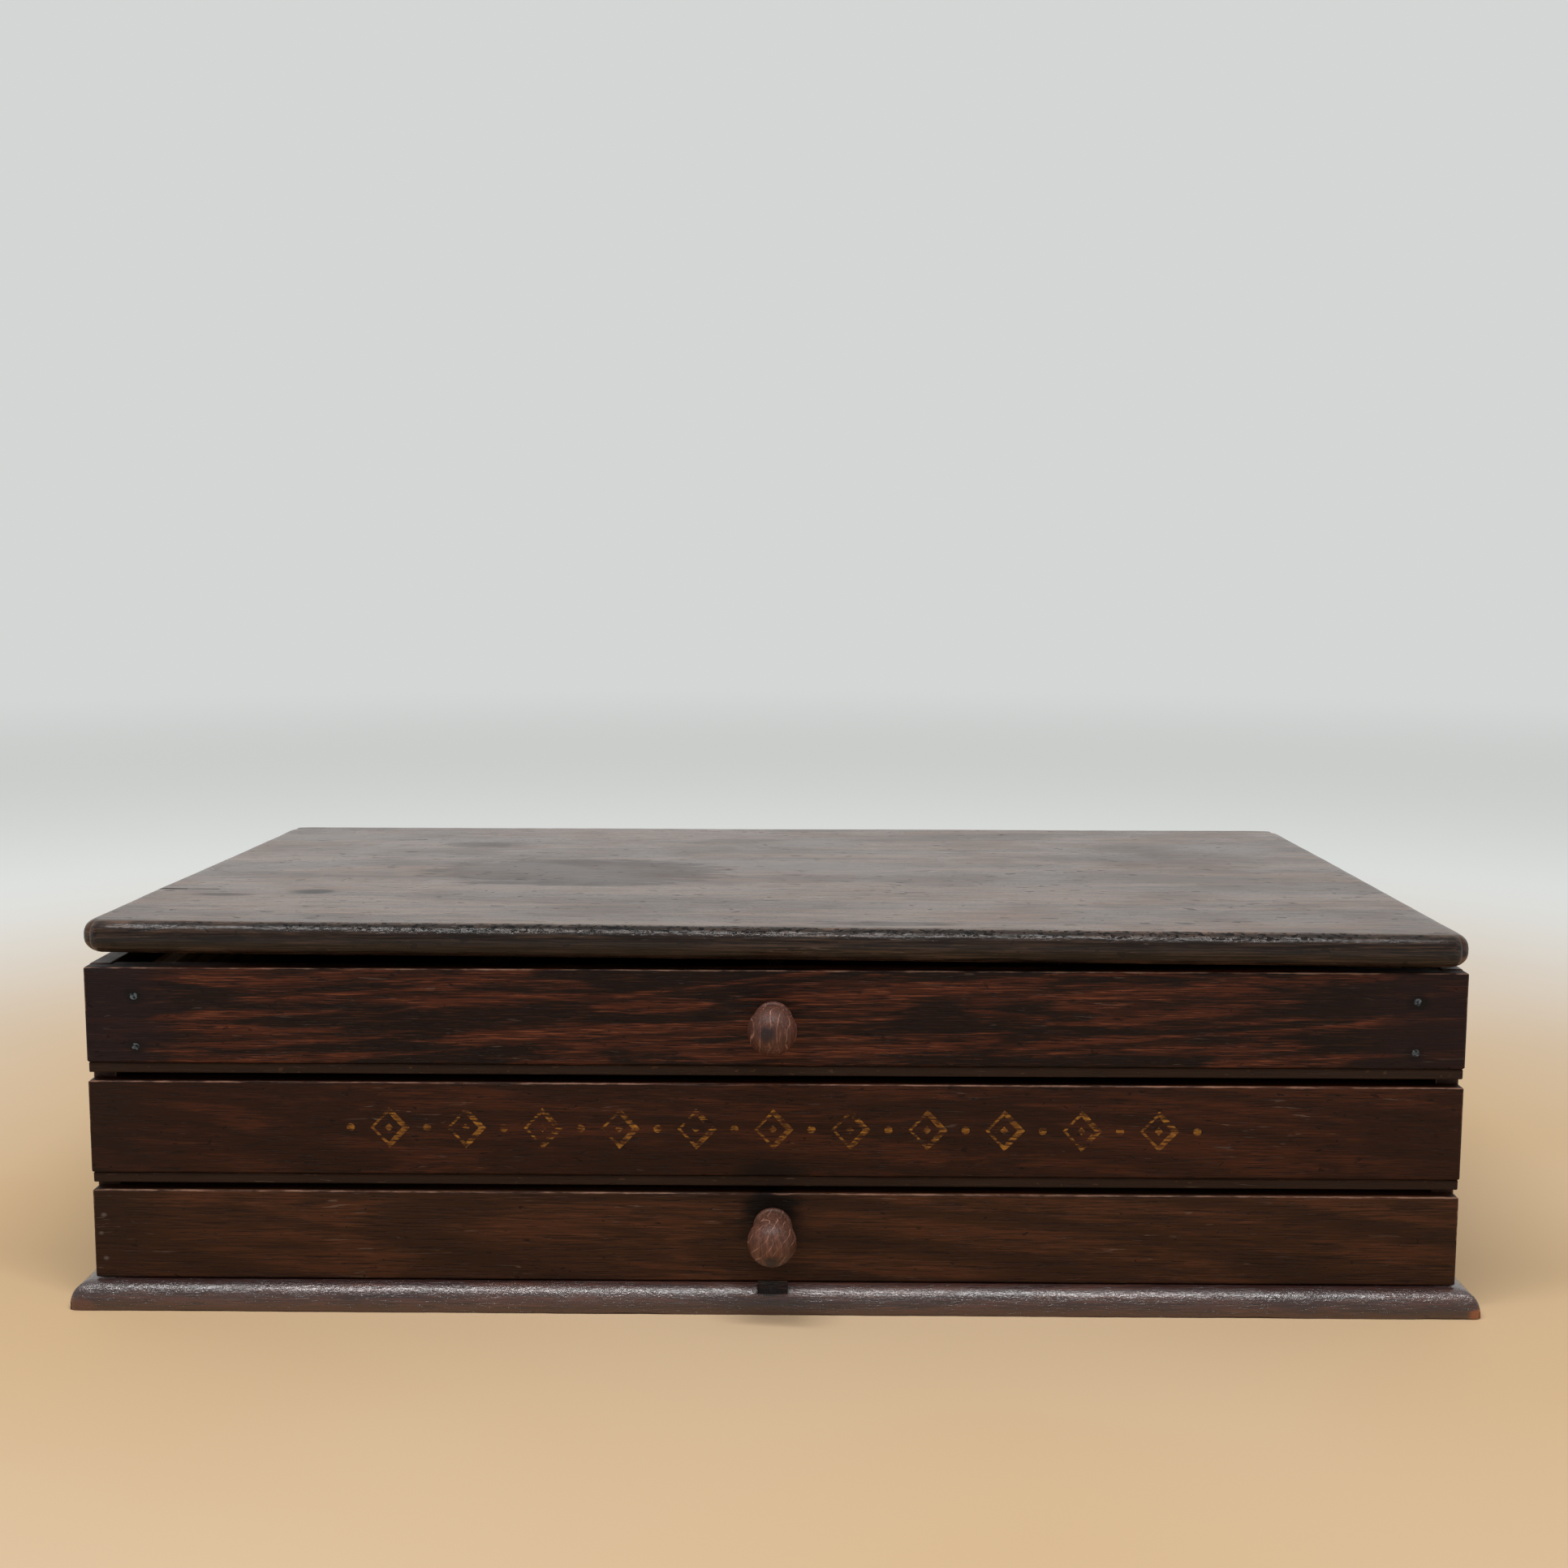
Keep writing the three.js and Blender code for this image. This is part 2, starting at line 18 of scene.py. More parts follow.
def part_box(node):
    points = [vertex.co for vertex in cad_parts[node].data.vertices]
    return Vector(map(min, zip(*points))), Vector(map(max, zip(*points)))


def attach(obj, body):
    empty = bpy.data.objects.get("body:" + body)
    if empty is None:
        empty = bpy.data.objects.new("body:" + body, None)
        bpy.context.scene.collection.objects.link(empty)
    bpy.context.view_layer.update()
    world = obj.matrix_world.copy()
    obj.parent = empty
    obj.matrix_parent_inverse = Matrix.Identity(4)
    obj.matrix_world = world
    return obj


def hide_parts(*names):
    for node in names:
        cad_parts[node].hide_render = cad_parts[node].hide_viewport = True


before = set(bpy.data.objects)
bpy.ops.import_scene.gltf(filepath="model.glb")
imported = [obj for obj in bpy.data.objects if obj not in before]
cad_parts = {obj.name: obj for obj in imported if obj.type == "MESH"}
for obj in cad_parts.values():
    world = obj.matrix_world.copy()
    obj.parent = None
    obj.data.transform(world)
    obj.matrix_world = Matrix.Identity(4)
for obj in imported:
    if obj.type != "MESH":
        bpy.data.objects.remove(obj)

LOG = logging.getLogger("cabinet")
MM = 0.001
SEED = 1907
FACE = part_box("middle_drawer_front")[0].y / MM  # depth of the drawer fronts' face, in millimetres

PAST = 1 * MM  # how far a cut runs past a surface, so that it leaves no thin skin
LEAF_ROOM = 0.3  # room round a hinge leaf in its pocket, in millimetres
RING_SCALE = 0.314  # at which the wave texture's rings lie one unit apart
SCRATCHED = "#8d7a6c"  # fibres crushed pale by a scratch

Box = tuple[Vector, Vector]
Socket = bpy.types.NodeSocket
Term = Union[bpy.types.NodeSocket, float]
Paint = Union[bpy.types.NodeSocket, str]


# ---- small helpers ------------------------------------------------------------------------


def mm(*values: float) -> Vector:
    """Returns a vector given in millimetres, in metres."""
    return Vector(values) * MM


def linear(hex_colour: str) -> tuple[float, float, float, float]:
    """Turns an sRGB hex colour into a linear one.

    Args:
        hex_colour: Six hex digits, with or without a leading hash.

    Returns:
        Linear red, green and blue, and an alpha of 1.
    """
    digits = hex_colour.lstrip("#")
    channels = [int(digits[i : i + 2], 16) / 255 for i in (0, 2, 4)]
    curve = [c / 12.92 if c <= 0.04045 else ((c + 0.055) / 1.055) ** 2.4 for c in channels]
    return (*curve, 1.0)


def grown(box: Box, margin_mm: float) -> Box:
    """Returns a box grown by a margin on every side."""
    margin = mm(margin_mm, margin_mm, margin_mm)
    return box[0] - margin, box[1] + margin


def add_node(
    tree: bpy.types.NodeTree,
    kind: str,
    settings: Optional[dict] = None,
    values: Optional[dict] = None,
    links: Optional[dict] = None,
) -> bpy.types.Node:
    """Adds one node to a tree.

    Args:
        tree: The tree that gets the node.
        kind: The node's type name.
        settings: Attributes to set on the node.
        values: Input socket, by name or number, to its constant.
        links: Input socket, by name or number, to the output that feeds it.

    Returns:
        The new node.
    """
    node = tree.nodes.new(kind)
    for name, value in (settings or {}).items():
        setattr(node, name, value)
    for key, value in (values or {}).items():
        node.inputs[key].default_value = value
    for key, source in (links or {}).items():
        tree.links.new(source, node.inputs[key])
    return node


# ---- finishes -----------------------------------------------------------------------------


class Grain(Enum):
    """The direction in which the wood's fibres run."""

    ALONG_X = 0
    ALONG_Y = 1
    ALONG_Z = 2

    def spread(self, length_mm: float, width_mm: float) -> tuple[float, float, float]:
        """Returns the size of a mark along X, Y and Z, in millimetres.

        Args:
            length_mm: Its length along the fibres.
            width_mm: Its width across them.

        Returns:
            The size along X, Y and Z.
        """
        size = [width_mm] * 3
        size[self.value] = length_mm
        return tuple(size)


@dataclass(frozen=True)
class StainAndShade:
    """A patch where the surface is darker, duller or worn through: real stains and wear, and in places
    painted shade.

    Attributes:
        place: Centre of the patch: X, distance behind the fronts' face, and Z, in millimetres.
        reach: How far it spreads along X, Y and Z, in millimetres.
        colour: Colour that it turns the wood to.
        strength: How much of that colour shows at its centre.
        softness: Share of the reach over which it fades out.
        streaks: How far the fibres still show through it.
    """

    place: tuple[float, float, float]
    reach: tuple[float, float, float]
    colour: str
    strength: float
    softness: float = 0.6
    streaks: float = 0.0


@dataclass(frozen=True)
class GiltBand:
    """A row of outlined lozenges and dots, painted in gold size and mostly rubbed off.

    Attributes:
        height: Height of the row's middle, in millimetres.
        reach: Half the row's length.
        pitch: From one lozenge to the next.
        half_width: Half the width of a lozenge.
        half_height: Half its height.
        dot: Radius of the dots between the lozenges.
        gold: Colour of the leaf that is left.
        dull: Its colour where it has worn thin.
        cover: How much of the wood's colour the leaf hides at most.
    """

    height: float
    reach: float = 134.0
    pitch: float = 24.0
    half_width: float = 6.2
    half_height: float = 6.6
    dot: float = 1.25
    gold: str = "#b07a2e"
    dull: str = "#68401a"
    cover: float = 0.85


class Shade:
    """A material's node tree while it is being built, with the few sums that finishes share."""

    def __init__(self, name: str) -> None:
        """Starts an empty material with a principled shader."""
        self.material = bpy.data.materials.new(name)
        self.material.use_nodes = True
        self.tree = self.material.node_tree
        self.tree.nodes.clear()
        self.shader = self.add("ShaderNodeBsdfPrincipled")
        self.add("ShaderNodeOutputMaterial", links={"Surface": self.shader.outputs["BSDF"]})
        self.place = self.add("ShaderNodeTexCoord").outputs["Object"]

    def add(
        self,
        kind: str,
        settings: Optional[dict] = None,
        values: Optional[dict] = None,
        links: Optional[dict] = None,
    ) -> bpy.types.Node:
        """Adds a node to this material."""
        return add_node(self.tree, kind, settings, values, links)

    def sum(self, operation: str, *terms: Term) -> bpy.types.NodeSocket:
        """Adds a sum whose terms are sockets or numbers.

        Args:
            operation: The math node's operation.
            terms: Sockets or numbers, in order.

        Returns:
            The result's socket.
        """
        sockets = {i: t for i, t in enumerate(terms) if isinstance(t, bpy.types.NodeSocket)}
        numbers = {i: t for i, t in enumerate(terms) if i not in sockets}
        return self.add("ShaderNodeMath", {"operation": operation}, numbers, sockets).outputs[0]

    def ramp(
        self, value: Term, low: float, high: float, out_low: float = 0.0, out_high: float = 1.0
    ) -> Socket:
        """Maps a stretch of a value smoothly onto another, and clamps it.

        Args:
            value: The value.
            low: Start of its stretch.
            high: End of its stretch.
            out_low: Result at the start.
            out_high: Result at the end.

        Returns:
            The result's socket.
        """
        return self.add(
            "ShaderNodeMapRange",
            {"interpolation_type": "SMOOTHSTEP"},
            {1: low, 2: high, 3: out_low, 4: out_high},
            {0: value},
        ).outputs[0]

    def mix(self, share: Term, under: Paint, over: Paint) -> Socket:
        """Mixes two colours.

        Args:
            share: How much of the upper colour shows.
            under: The lower colour.
            over: The upper colour.

        Returns:
            The mixed colour's socket.
        """
        node = self.add("ShaderNodeMix", {"data_type": "RGBA", "blend_type": "MIX"})
        for index, term in ((0, share), (6, under), (7, over)):
            if isinstance(term, bpy.types.NodeSocket):
                self.tree.links.new(term, node.inputs[index])
            else:
                node.inputs[index].default_value = linear(term) if isinstance(term, str) else term
        return node.outputs[2]

    def spot(
        self,
        origin_mm: Sequence[float],
        size_mm: Sequence[float],
        lean: Sequence[float] = (0.0, 0.0, 0.0),
    ) -> Socket:
        """Measures the place from an origin, in units of a leaning mark's size.

        Args:
            origin_mm: The origin, in millimetres.
            size_mm: The mark's size along X, Y and Z, in millimetres.
            lean: The mark's turn about X, Y and Z, in degrees.

        Returns:
            The measured place's socket.
        """
        return self.add(
            "ShaderNodeMapping",
            {"vector_type": "TEXTURE"},
            {
                "Location": [c * MM for c in origin_mm],
                "Rotation": [math.radians(a) for a in lean],
                "Scale": [max(c, 1e-3) * MM for c in size_mm],
            },
            {"Vector": self.place},
        ).outputs[0]

    def noise(
        self,
        size_mm: Sequence[float],
        seed: float,
        detail: float = 3.0,
        distortion: float = 0.0,
        rough: float = 0.55,
        lean: Sequence[float] = (0.0, 0.0, 0.0),
    ) -> Socket:
        """Adds noise whose marks have a given size.

        Args:
            size_mm: Size of a mark along X, Y and Z, in millimetres.
            seed: Picks the pattern.
            detail: Number of finer layers.
            distortion: How far the marks are bent.
            rough: Strength of the finer layers.
            lean: The marks' turn, in degrees.

        Returns:
            The noise's socket.
        """
        origin = [size * seed * turn for size, turn in zip(size_mm, (1.7, 3.1, 2.3))]
        return self.add(
            "ShaderNodeTexNoise",
            values={"Scale": 1.0, "Detail": detail, "Distortion": distortion, "Roughness": rough},
            links={"Vector": self.spot(origin, size_mm, lean)},
        ).outputs["Fac"]

    def axis(self, index: int) -> bpy.types.NodeSocket:
        """Returns one coordinate of the place, in metres."""
        return self.add("ShaderNodeSeparateXYZ", links={0: self.place}).outputs[index]

    def near(self, stain_and_shade: StainAndShade, ragged: Term) -> Socket:
        """Returns how much of a patch of dirt, wear or painted shade shows, from 0 to 1, with a ragged
        outline.

        Args:
            stain_and_shade: The patch.
            ragged: Noise that frays its outline.

        Returns:
            The share's socket.
        """
        x, behind, z = stain_and_shade.place
        mapped = self.spot((x, FACE + behind, z), stain_and_shade.reach)
        length = self.add("ShaderNodeVectorMath", {"operation": "LENGTH"}, links={0: mapped})
        away = length.outputs["Value"]
        frayed = self.sum("ADD", away, self.sum("MULTIPLY", self.sum("SUBTRACT", ragged, 0.5), 0.9))
        return self.ramp(frayed, 1.0, 1.0 - stain_and_shade.softness, 0.0, stain_and_shade.strength)


@dataclass(frozen=True)
class WoodFinish:
    """Planed board, stained and varnished or bare, with its fibres, pores, figure and wear.

    Attributes:
        name: Material's name.
        wood: Colour of the plain wood under its stain.
        late: Colour of the dark rings and of the darker parts of the figure.
        warm: Colour of the redder flecks.
        pore: Colour of dirt in the open pores.
        worn: Colour where an arris is rubbed through, on the fronts paler as painted highlight.
        grain: Direction of the fibres.
        heart: Middle of the tree's rings, in millimetres.
        lean: Turn of the tree against the board, in degrees.
        ring_mm: Length over which a ring wanders, and the rings' spacing.
        figure_mm: Length and width of the light and dark parts of the figure.
        fleck_mm: Length and width of a fleck, wider than real so that it shows.
        pore_mm: Length and width of an open pore, wider than real so that it shows.
        figure: Contrast of the figure, from 0 to 1.
        rings: How dark the rings are drawn.
        flecks: How much of the flecks shows.
        pores: How much of the pores shows.
        wear: How much of the arrises is rubbed through, with the painted highlight on the top ones.
        specular: Level of the shader's reflection; dirt and dried-out varnish lower it.
        gloss: Lowest and highest roughness.
        coat: Weight of the varnish over the wood.
        coat_roughness: Roughness of that varnish.
        relief_mm: Depth of the fibres and pores.
        crackle_mm: Depth of the lumps in the old varnish.
        scuffs: How many pale scratches show.
        nick_mm: Length and width of a dark nick.
        nick_level: Height of the noise above which a nick shows, so that a higher one leaves fewer.
        stains_and_shade: Patches of dirt and wear, and patches of painted shade.
        stain_and_shade_dulls: How much rougher a patch of dirt, wear or painted shade makes the surface.
        pits: Patches of small dark pits; a patch's strength is the pits' darkness.
        gilt: Painted band, if the board has one.
        seed: Picks the piece of tree that the board was cut from.
    """

    name: str
    wood: str
    late: str
    warm: str
    pore: str
    worn: str
    grain: Grain = Grain.ALONG_X
    heart: tuple[float, float, float] = (0.0, -70.0, 40.0)
    lean: tuple[float, float, float] = (0.0, 3.0, 5.0)
    ring_mm: tuple[float, float] = (60.0, 5.0)
    figure_mm: tuple[float, float] = (95.0, 8.0)
    fleck_mm: tuple[float, float] = (10.0, 0.5)
    pore_mm: tuple[float, float] = (7.0, 0.42)
    figure: float = 1.0
    rings: float = 0.5
    flecks: float = 0.6
    pores: float = 0.6
    wear: float = 0.8
    specular: float = 0.14
    gloss: tuple[float, float] = (0.34, 0.5)
    coat: float = 0.0
    coat_roughness: float = 0.22
    relief_mm: float = 0.12
    crackle_mm: float = 0.0
    scuffs: float = 0.25
    nick_mm: tuple[float, float] = (2.6, 1.1)
    nick_level: float = 0.77
    stains_and_shade: tuple[StainAndShade, ...] = ()
    stain_and_shade_dulls: float = 0.1
    pits: tuple[StainAndShade, ...] = ()
    gilt: Optional[GiltBand] = None
    seed: float = 1.0

    def build(self) -> bpy.types.Material:
        """Builds the material.

        Returns:
            The finished material.
        """
        shade = Shade(self.name)
        fibres = shade.noise(self.grain.spread(26.0, 0.6), self.seed, 5.0, 0.2, 0.72)
        pores = shade.ramp(shade.noise(self.grain.spread(*self.pore_mm), self.seed + 7, 2.0), 0.55, 0.63)
        colour = self._board_colour(shade, fibres, pores)
        ragged = shade.noise(self.grain.spread(9.0, 3.0), self.seed + 4, 4.0)
        dull = 0.0
        for stain_and_shade in self.stains_and_shade:
            share = shade.near(stain_and_shade, ragged)
            if stain_and_shade.streaks:
                streak = shade.ramp(fibres, 0.42, 0.62, 1.0, 1.0 - stain_and_shade.streaks)
                share = shade.sum("MULTIPLY", share, streak)
            colour = shade.mix(share, colour, stain_and_shade.colour)
            dull = shade.sum("MAXIMUM", dull, share)
        colour, scratch = self._scuffed(shade, colour)
        for patch in self.pits:
            hole = shade.ramp(shade.noise(self.grain.spread(2.0, 1.2), self.seed + 51, 1.0), 0.54, 0.6)
            share = shade.sum("MULTIPLY", hole, shade.near(patch, ragged))
            colour = shade.mix(share, colour, patch.colour)
            scratch = shade.sum("ADD", scratch, shade.sum("MULTIPLY", share, 5.0))
        if self.gilt:
            colour = self._gilded(shade, colour)
        rubbed = self._rubbed_and_lit(shade, ragged)
        # Rubbed arrises: real wear, and on the top arrises painted highlight.
        colour = shade.mix(rubbed, colour, self.worn)
        self._surface(shade, colour, (fibres, pores, rubbed, scratch, dull))
        return shade.material

    def _rings(self, shade: Shade) -> Socket:
        """Draws the growth rings as leaning tubes, 1 where the wood grew late in the year.

        Args:
            shade: The material being built.

        Returns:
            The rings' socket.
        """
        wander, spacing = self.ring_mm
        wave = shade.add(
            "ShaderNodeTexWave",
            {"wave_type": "RINGS", "rings_direction": "XYZ"[self.grain.value], "wave_profile": "SIN"},
            {
                "Scale": RING_SCALE, "Distortion": 3.2, "Detail": 3.0, "Detail Scale": 0.7,
                "Detail Roughness": 0.6,
            },
            {"Vector": shade.spot(self.heart, self.grain.spread(wander, spacing), self.lean)},
        )
        return shade.ramp(wave.outputs["Fac"], 0.45, 1.0)

    def _board_colour(self, shade: Shade, fibres: Term, pores: Term) -> Socket:
        """Lays rings, flecks, fibres and pores over the light and dark parts of the figure.

        Args:
            shade: The material being built.
            fibres: The fibres' noise.
            pores: How much of a pore shows.

        Returns:
            The colour's socket.
        """
        broad = shade.noise(self.grain.spread(*self.figure_mm), self.seed + 2, 4.0, 0.7, 0.6, self.lean)
        light = shade.ramp(broad, 0.44, 0.57, 1.0 - self.figure, 1.0)
        ring = shade.sum("MULTIPLY", self._rings(shade), self.rings)
        tone = shade.sum("MULTIPLY", light, shade.sum("SUBTRACT", 1.0, ring))
        streak = shade.ramp(fibres, 0.38, 0.6, 0.3, 1.25)
        colour = shade.mix(shade.sum("MULTIPLY", tone, streak), self.late, self.wood)
        fleck = shade.noise(self.grain.spread(*self.fleck_mm), self.seed + 3, 3.0, 0.2, 0.6)
        lit = shade.sum("ADD", shade.sum("MULTIPLY", tone, 0.8), 0.2)
        share = shade.sum("MULTIPLY", shade.ramp(fleck, 0.54, 0.66, 0.0, self.flecks), lit)
        colour = shade.mix(share, colour, self.warm)
        return shade.mix(shade.sum("MULTIPLY", pores, self.pores), colour, self.pore)

    def _scuffed(self, shade: Shade, colour: Term) -> tuple[Socket, Socket]:
        """Adds short pale scratches and a few dark nicks.

        Args:
            shade: The material being built.
            colour: The colour so far.

        Returns:
            The colour and the depth of the marks.
        """
        along = shade.noise(self.grain.spread(12.0, 0.9), self.seed + 11, 2.0, 0.8)
        patch = shade.noise((25.0, 17.0, 17.0), self.seed + 12, 2.0)
        marks = shade.sum("MULTIPLY", shade.ramp(along, 0.66, 0.72), shade.ramp(patch, 0.45, 0.62))
        nick = shade.noise(self.grain.spread(*self.nick_mm), self.seed + 13, 0.0, 0.6)
        deep = shade.ramp(nick, self.nick_level, self.nick_level + 0.03)
        nicks = shade.sum("MULTIPLY", deep, shade.ramp(patch, 0.3, 0.5))
        pale = shade.mix(shade.sum("MULTIPLY", marks, self.scuffs), colour, SCRATCHED)
        dark = shade.mix(shade.sum("MULTIPLY", nicks, min(1.0, self.scuffs * 3)), pale, self.pore)
        return dark, shade.sum("ADD", marks, nicks)

    def _rubbed_and_lit(self, shade: Shade, ragged: Term) -> Socket:
        """Finds where hands and drawers rubbed the arris through, and paints highlight on top arrises.

        Args:
            shade: The material being built.
            ragged: Noise that frays the worn places.

        Returns:
            How much of the worn colour shows.
        """
        arris = shade.add("ShaderNodeAttribute", {"attribute_name": "arris"}).outputs["Fac"]
        fine = shade.noise(self.grain.spread(5.0, 0.8), self.seed + 5, 3.0)
        broken = shade.sum("ADD", shade.sum("MULTIPLY", ragged, 0.6), shade.sum("MULTIPLY", fine, 0.4))
        edge = shade.sum("ADD", arris, shade.sum("SUBTRACT", broken, 0.5))
        return shade.ramp(edge, 0.6, 0.86, 0.0, self.wear)

    def _gilded(self, shade: Shade, colour: Term) -> Socket:
        """Paints the band of lozenges and dots, thick and thin as a brush leaves them.

        Args:
            shade: The material being built.
            colour: The colour so far.

        Returns:
            The colour's socket.
        """
        band = self.gilt
        along = shade.axis(0)
        turn = shade.sum("FRACT", shade.sum("ADD", shade.sum("DIVIDE", along, band.pitch * MM), 100.5))
        offset = shade.sum("MULTIPLY", shade.sum("SUBTRACT", turn, 0.5), band.pitch)
        side = shade.sum("ABSOLUTE", offset)
        up = shade.sum("SUBTRACT", shade.sum("DIVIDE", shade.axis(2), MM), band.height)
        rise = shade.sum("ABSOLUTE", up)
        span = shade.sum(
            "ADD", shade.sum("DIVIDE", side, band.half_width), shade.sum("DIVIDE", rise, band.half_height)
        )
        stroke = shade.ramp(offset, -2.0, 2.0, 0.085, 0.19)
        ring = shade.sum("LESS_THAN", shade.sum("ABSOLUTE", shade.sum("SUBTRACT", span, 0.85)), stroke)
        heart = shade.sum("LESS_THAN", span, 0.2)
        gap = shade.sum("SUBTRACT", band.pitch / 2, side)
        squares = [shade.sum("POWER", leg, 2.0) for leg in (gap, rise)]
        from_dot = shade.sum("SQRT", shade.sum("ADD", *squares))
        dot = shade.sum("LESS_THAN", from_dot, band.dot)
        drawn = shade.sum("MAXIMUM", shade.sum("MAXIMUM", ring, heart), dot)
        inside = shade.sum("LESS_THAN", shade.sum("ABSOLUTE", along), band.reach * MM)
        on_face = shade.sum("LESS_THAN", shade.axis(1), (FACE + 0.4) * MM)
        kept = shade.noise(self.grain.spread(5.0, 0.9), self.seed + 21, 4.0, 0.3, 0.7)
        patches = shade.noise((22.0, 22.0, 11.0), self.seed + 22, 2.0)
        left = shade.ramp(shade.sum("ADD", kept, shade.sum("MULTIPLY", patches, 0.5)), 0.67, 0.84)
        here = shade.sum("MULTIPLY", drawn, inside)
        share = shade.sum("MULTIPLY", here, shade.sum("MULTIPLY", on_face, left))
        tone = shade.mix(shade.ramp(kept, 0.45, 0.7), band.dull, band.gold)
        return shade.mix(shade.sum("MULTIPLY", share, band.cover), colour, tone)

    def _surface(self, shade: Shade, colour: Term, marks: tuple[Term, ...]) -> None:
        """Sets the shader's colour, gloss and relief from the fibres, pores and kinds of wear.

        Args:
            shade: The material being built.
            colour: The finished colour.
            marks: Fibres, pores, rubbed places, scratches and dulled places.
        """
        fibres, pores, rubbed, scratch, dull = marks
        low, high = self.gloss
        bare = shade.sum("MULTIPLY", shade.sum("ADD", rubbed, scratch), 0.18)
        haze = shade.noise((40.0, 28.0, 28.0), self.seed + 31, 3.0)
        bare = shade.sum("ADD", bare, shade.sum("MULTIPLY", dull, self.stain_and_shade_dulls))
        rough = shade.sum("ADD", shade.ramp(shade.sum("ADD", haze, fibres), 0.85, 1.15, low, high), bare)
        sunk = shade.sum("ADD", pores, scratch)
        raised = shade.sum("MULTIPLY", fibres, 0.55)
        height = shade.sum("SUBTRACT", raised, shade.sum("MULTIPLY", sunk, 0.6))
        bump = shade.add(
            "ShaderNodeBump",
            values={"Strength": 1.0, "Distance": self.relief_mm * MM},
            links={"Height": height},
        )
        if self.crackle_mm:
            # Lumps about a millimetre across: finer ones would be lost, so they are drawn this coarse.
            lumps = shade.noise(self.grain.spread(1.3, 0.85), self.seed + 41, 2.5, 0.4, 0.65)
            bump = shade.add(
                "ShaderNodeBump",
                values={"Strength": 1.0, "Distance": self.crackle_mm * MM},
                links={"Height": lumps, "Normal": bump.outputs[0]},
            )
        shader = shade.shader
        shader.inputs["IOR"].default_value = 1.5
        shader.inputs["Specular IOR Level"].default_value = self.specular
        shader.inputs["Coat Weight"].default_value = self.coat
        shader.inputs["Coat Roughness"].default_value = self.coat_roughness
        shade.tree.links.new(colour, shader.inputs["Base Color"])
        shade.tree.links.new(rough, shader.inputs["Roughness"])
        shade.tree.links.new(bump.outputs[0], shader.inputs["Normal"])
        shade.tree.links.new(bump.outputs[0], shader.inputs["Coat Normal"])


@dataclass(frozen=True)
class MetalFinish:
    """Small metal fitting that has tarnished, brighter where it is touched.

    Attributes:
        name: Material's name.
        bright: Colour of the bare metal.
        tarnish: Colour of the film on it.
        film: How much of the surface the film covers.
        gloss: Lowest and highest roughness.
        seed: Picks the pattern.
    """

    name: str
    bright: str
    tarnish: str
    film: float
    gloss: tuple[float, float]
    seed: float = 1.0

    def build(self) -> bpy.types.Material:
        """Builds the material.

        Returns:
            The finished material.
        """
        shade = Shade(self.name)
        blotch = shade.noise((1.1, 1.1, 1.1), self.seed, 4.0)
        brushed = shade.noise((2.5, 0.25, 0.25), self.seed + 2, 2.0)
        dull = shade.ramp(blotch, 0.6 - 0.4 * self.film, 0.75 - 0.3 * self.film)
        colour = shade.mix(dull, self.bright, self.tarnish)
        rough = shade.ramp(shade.sum("ADD", blotch, brushed), 0.7, 1.3, *self.gloss)
        bump = shade.add(
            "ShaderNodeBump",
            values={"Strength": 0.5, "Distance": 0.03 * MM},
            links={"Height": shade.sum("ADD", blotch, brushed)},
        )
        shade.shader.inputs["Metallic"].default_value = 1.0
        shade.tree.links.new(colour, shade.shader.inputs["Base Color"])
        shade.tree.links.new(rough, shade.shader.inputs["Roughness"])
        shade.tree.links.new(bump.outputs[0], shade.shader.inputs["Normal"])
        return shade.material


Finish = WoodFinish | MetalFinish
_built: dict[str, bpy.types.Material] = {}


def material_of(finish: Finish) -> bpy.types.Material:
    """Returns a finish's material, built once.

    Args:
        finish: The finish.

    Returns:
        Its material.
    """
    if finish.name not in _built:
        _built[finish.name] = finish.build()
    return _built[finish.name]


# ---- mesh making --------------------------------------------------------------------------


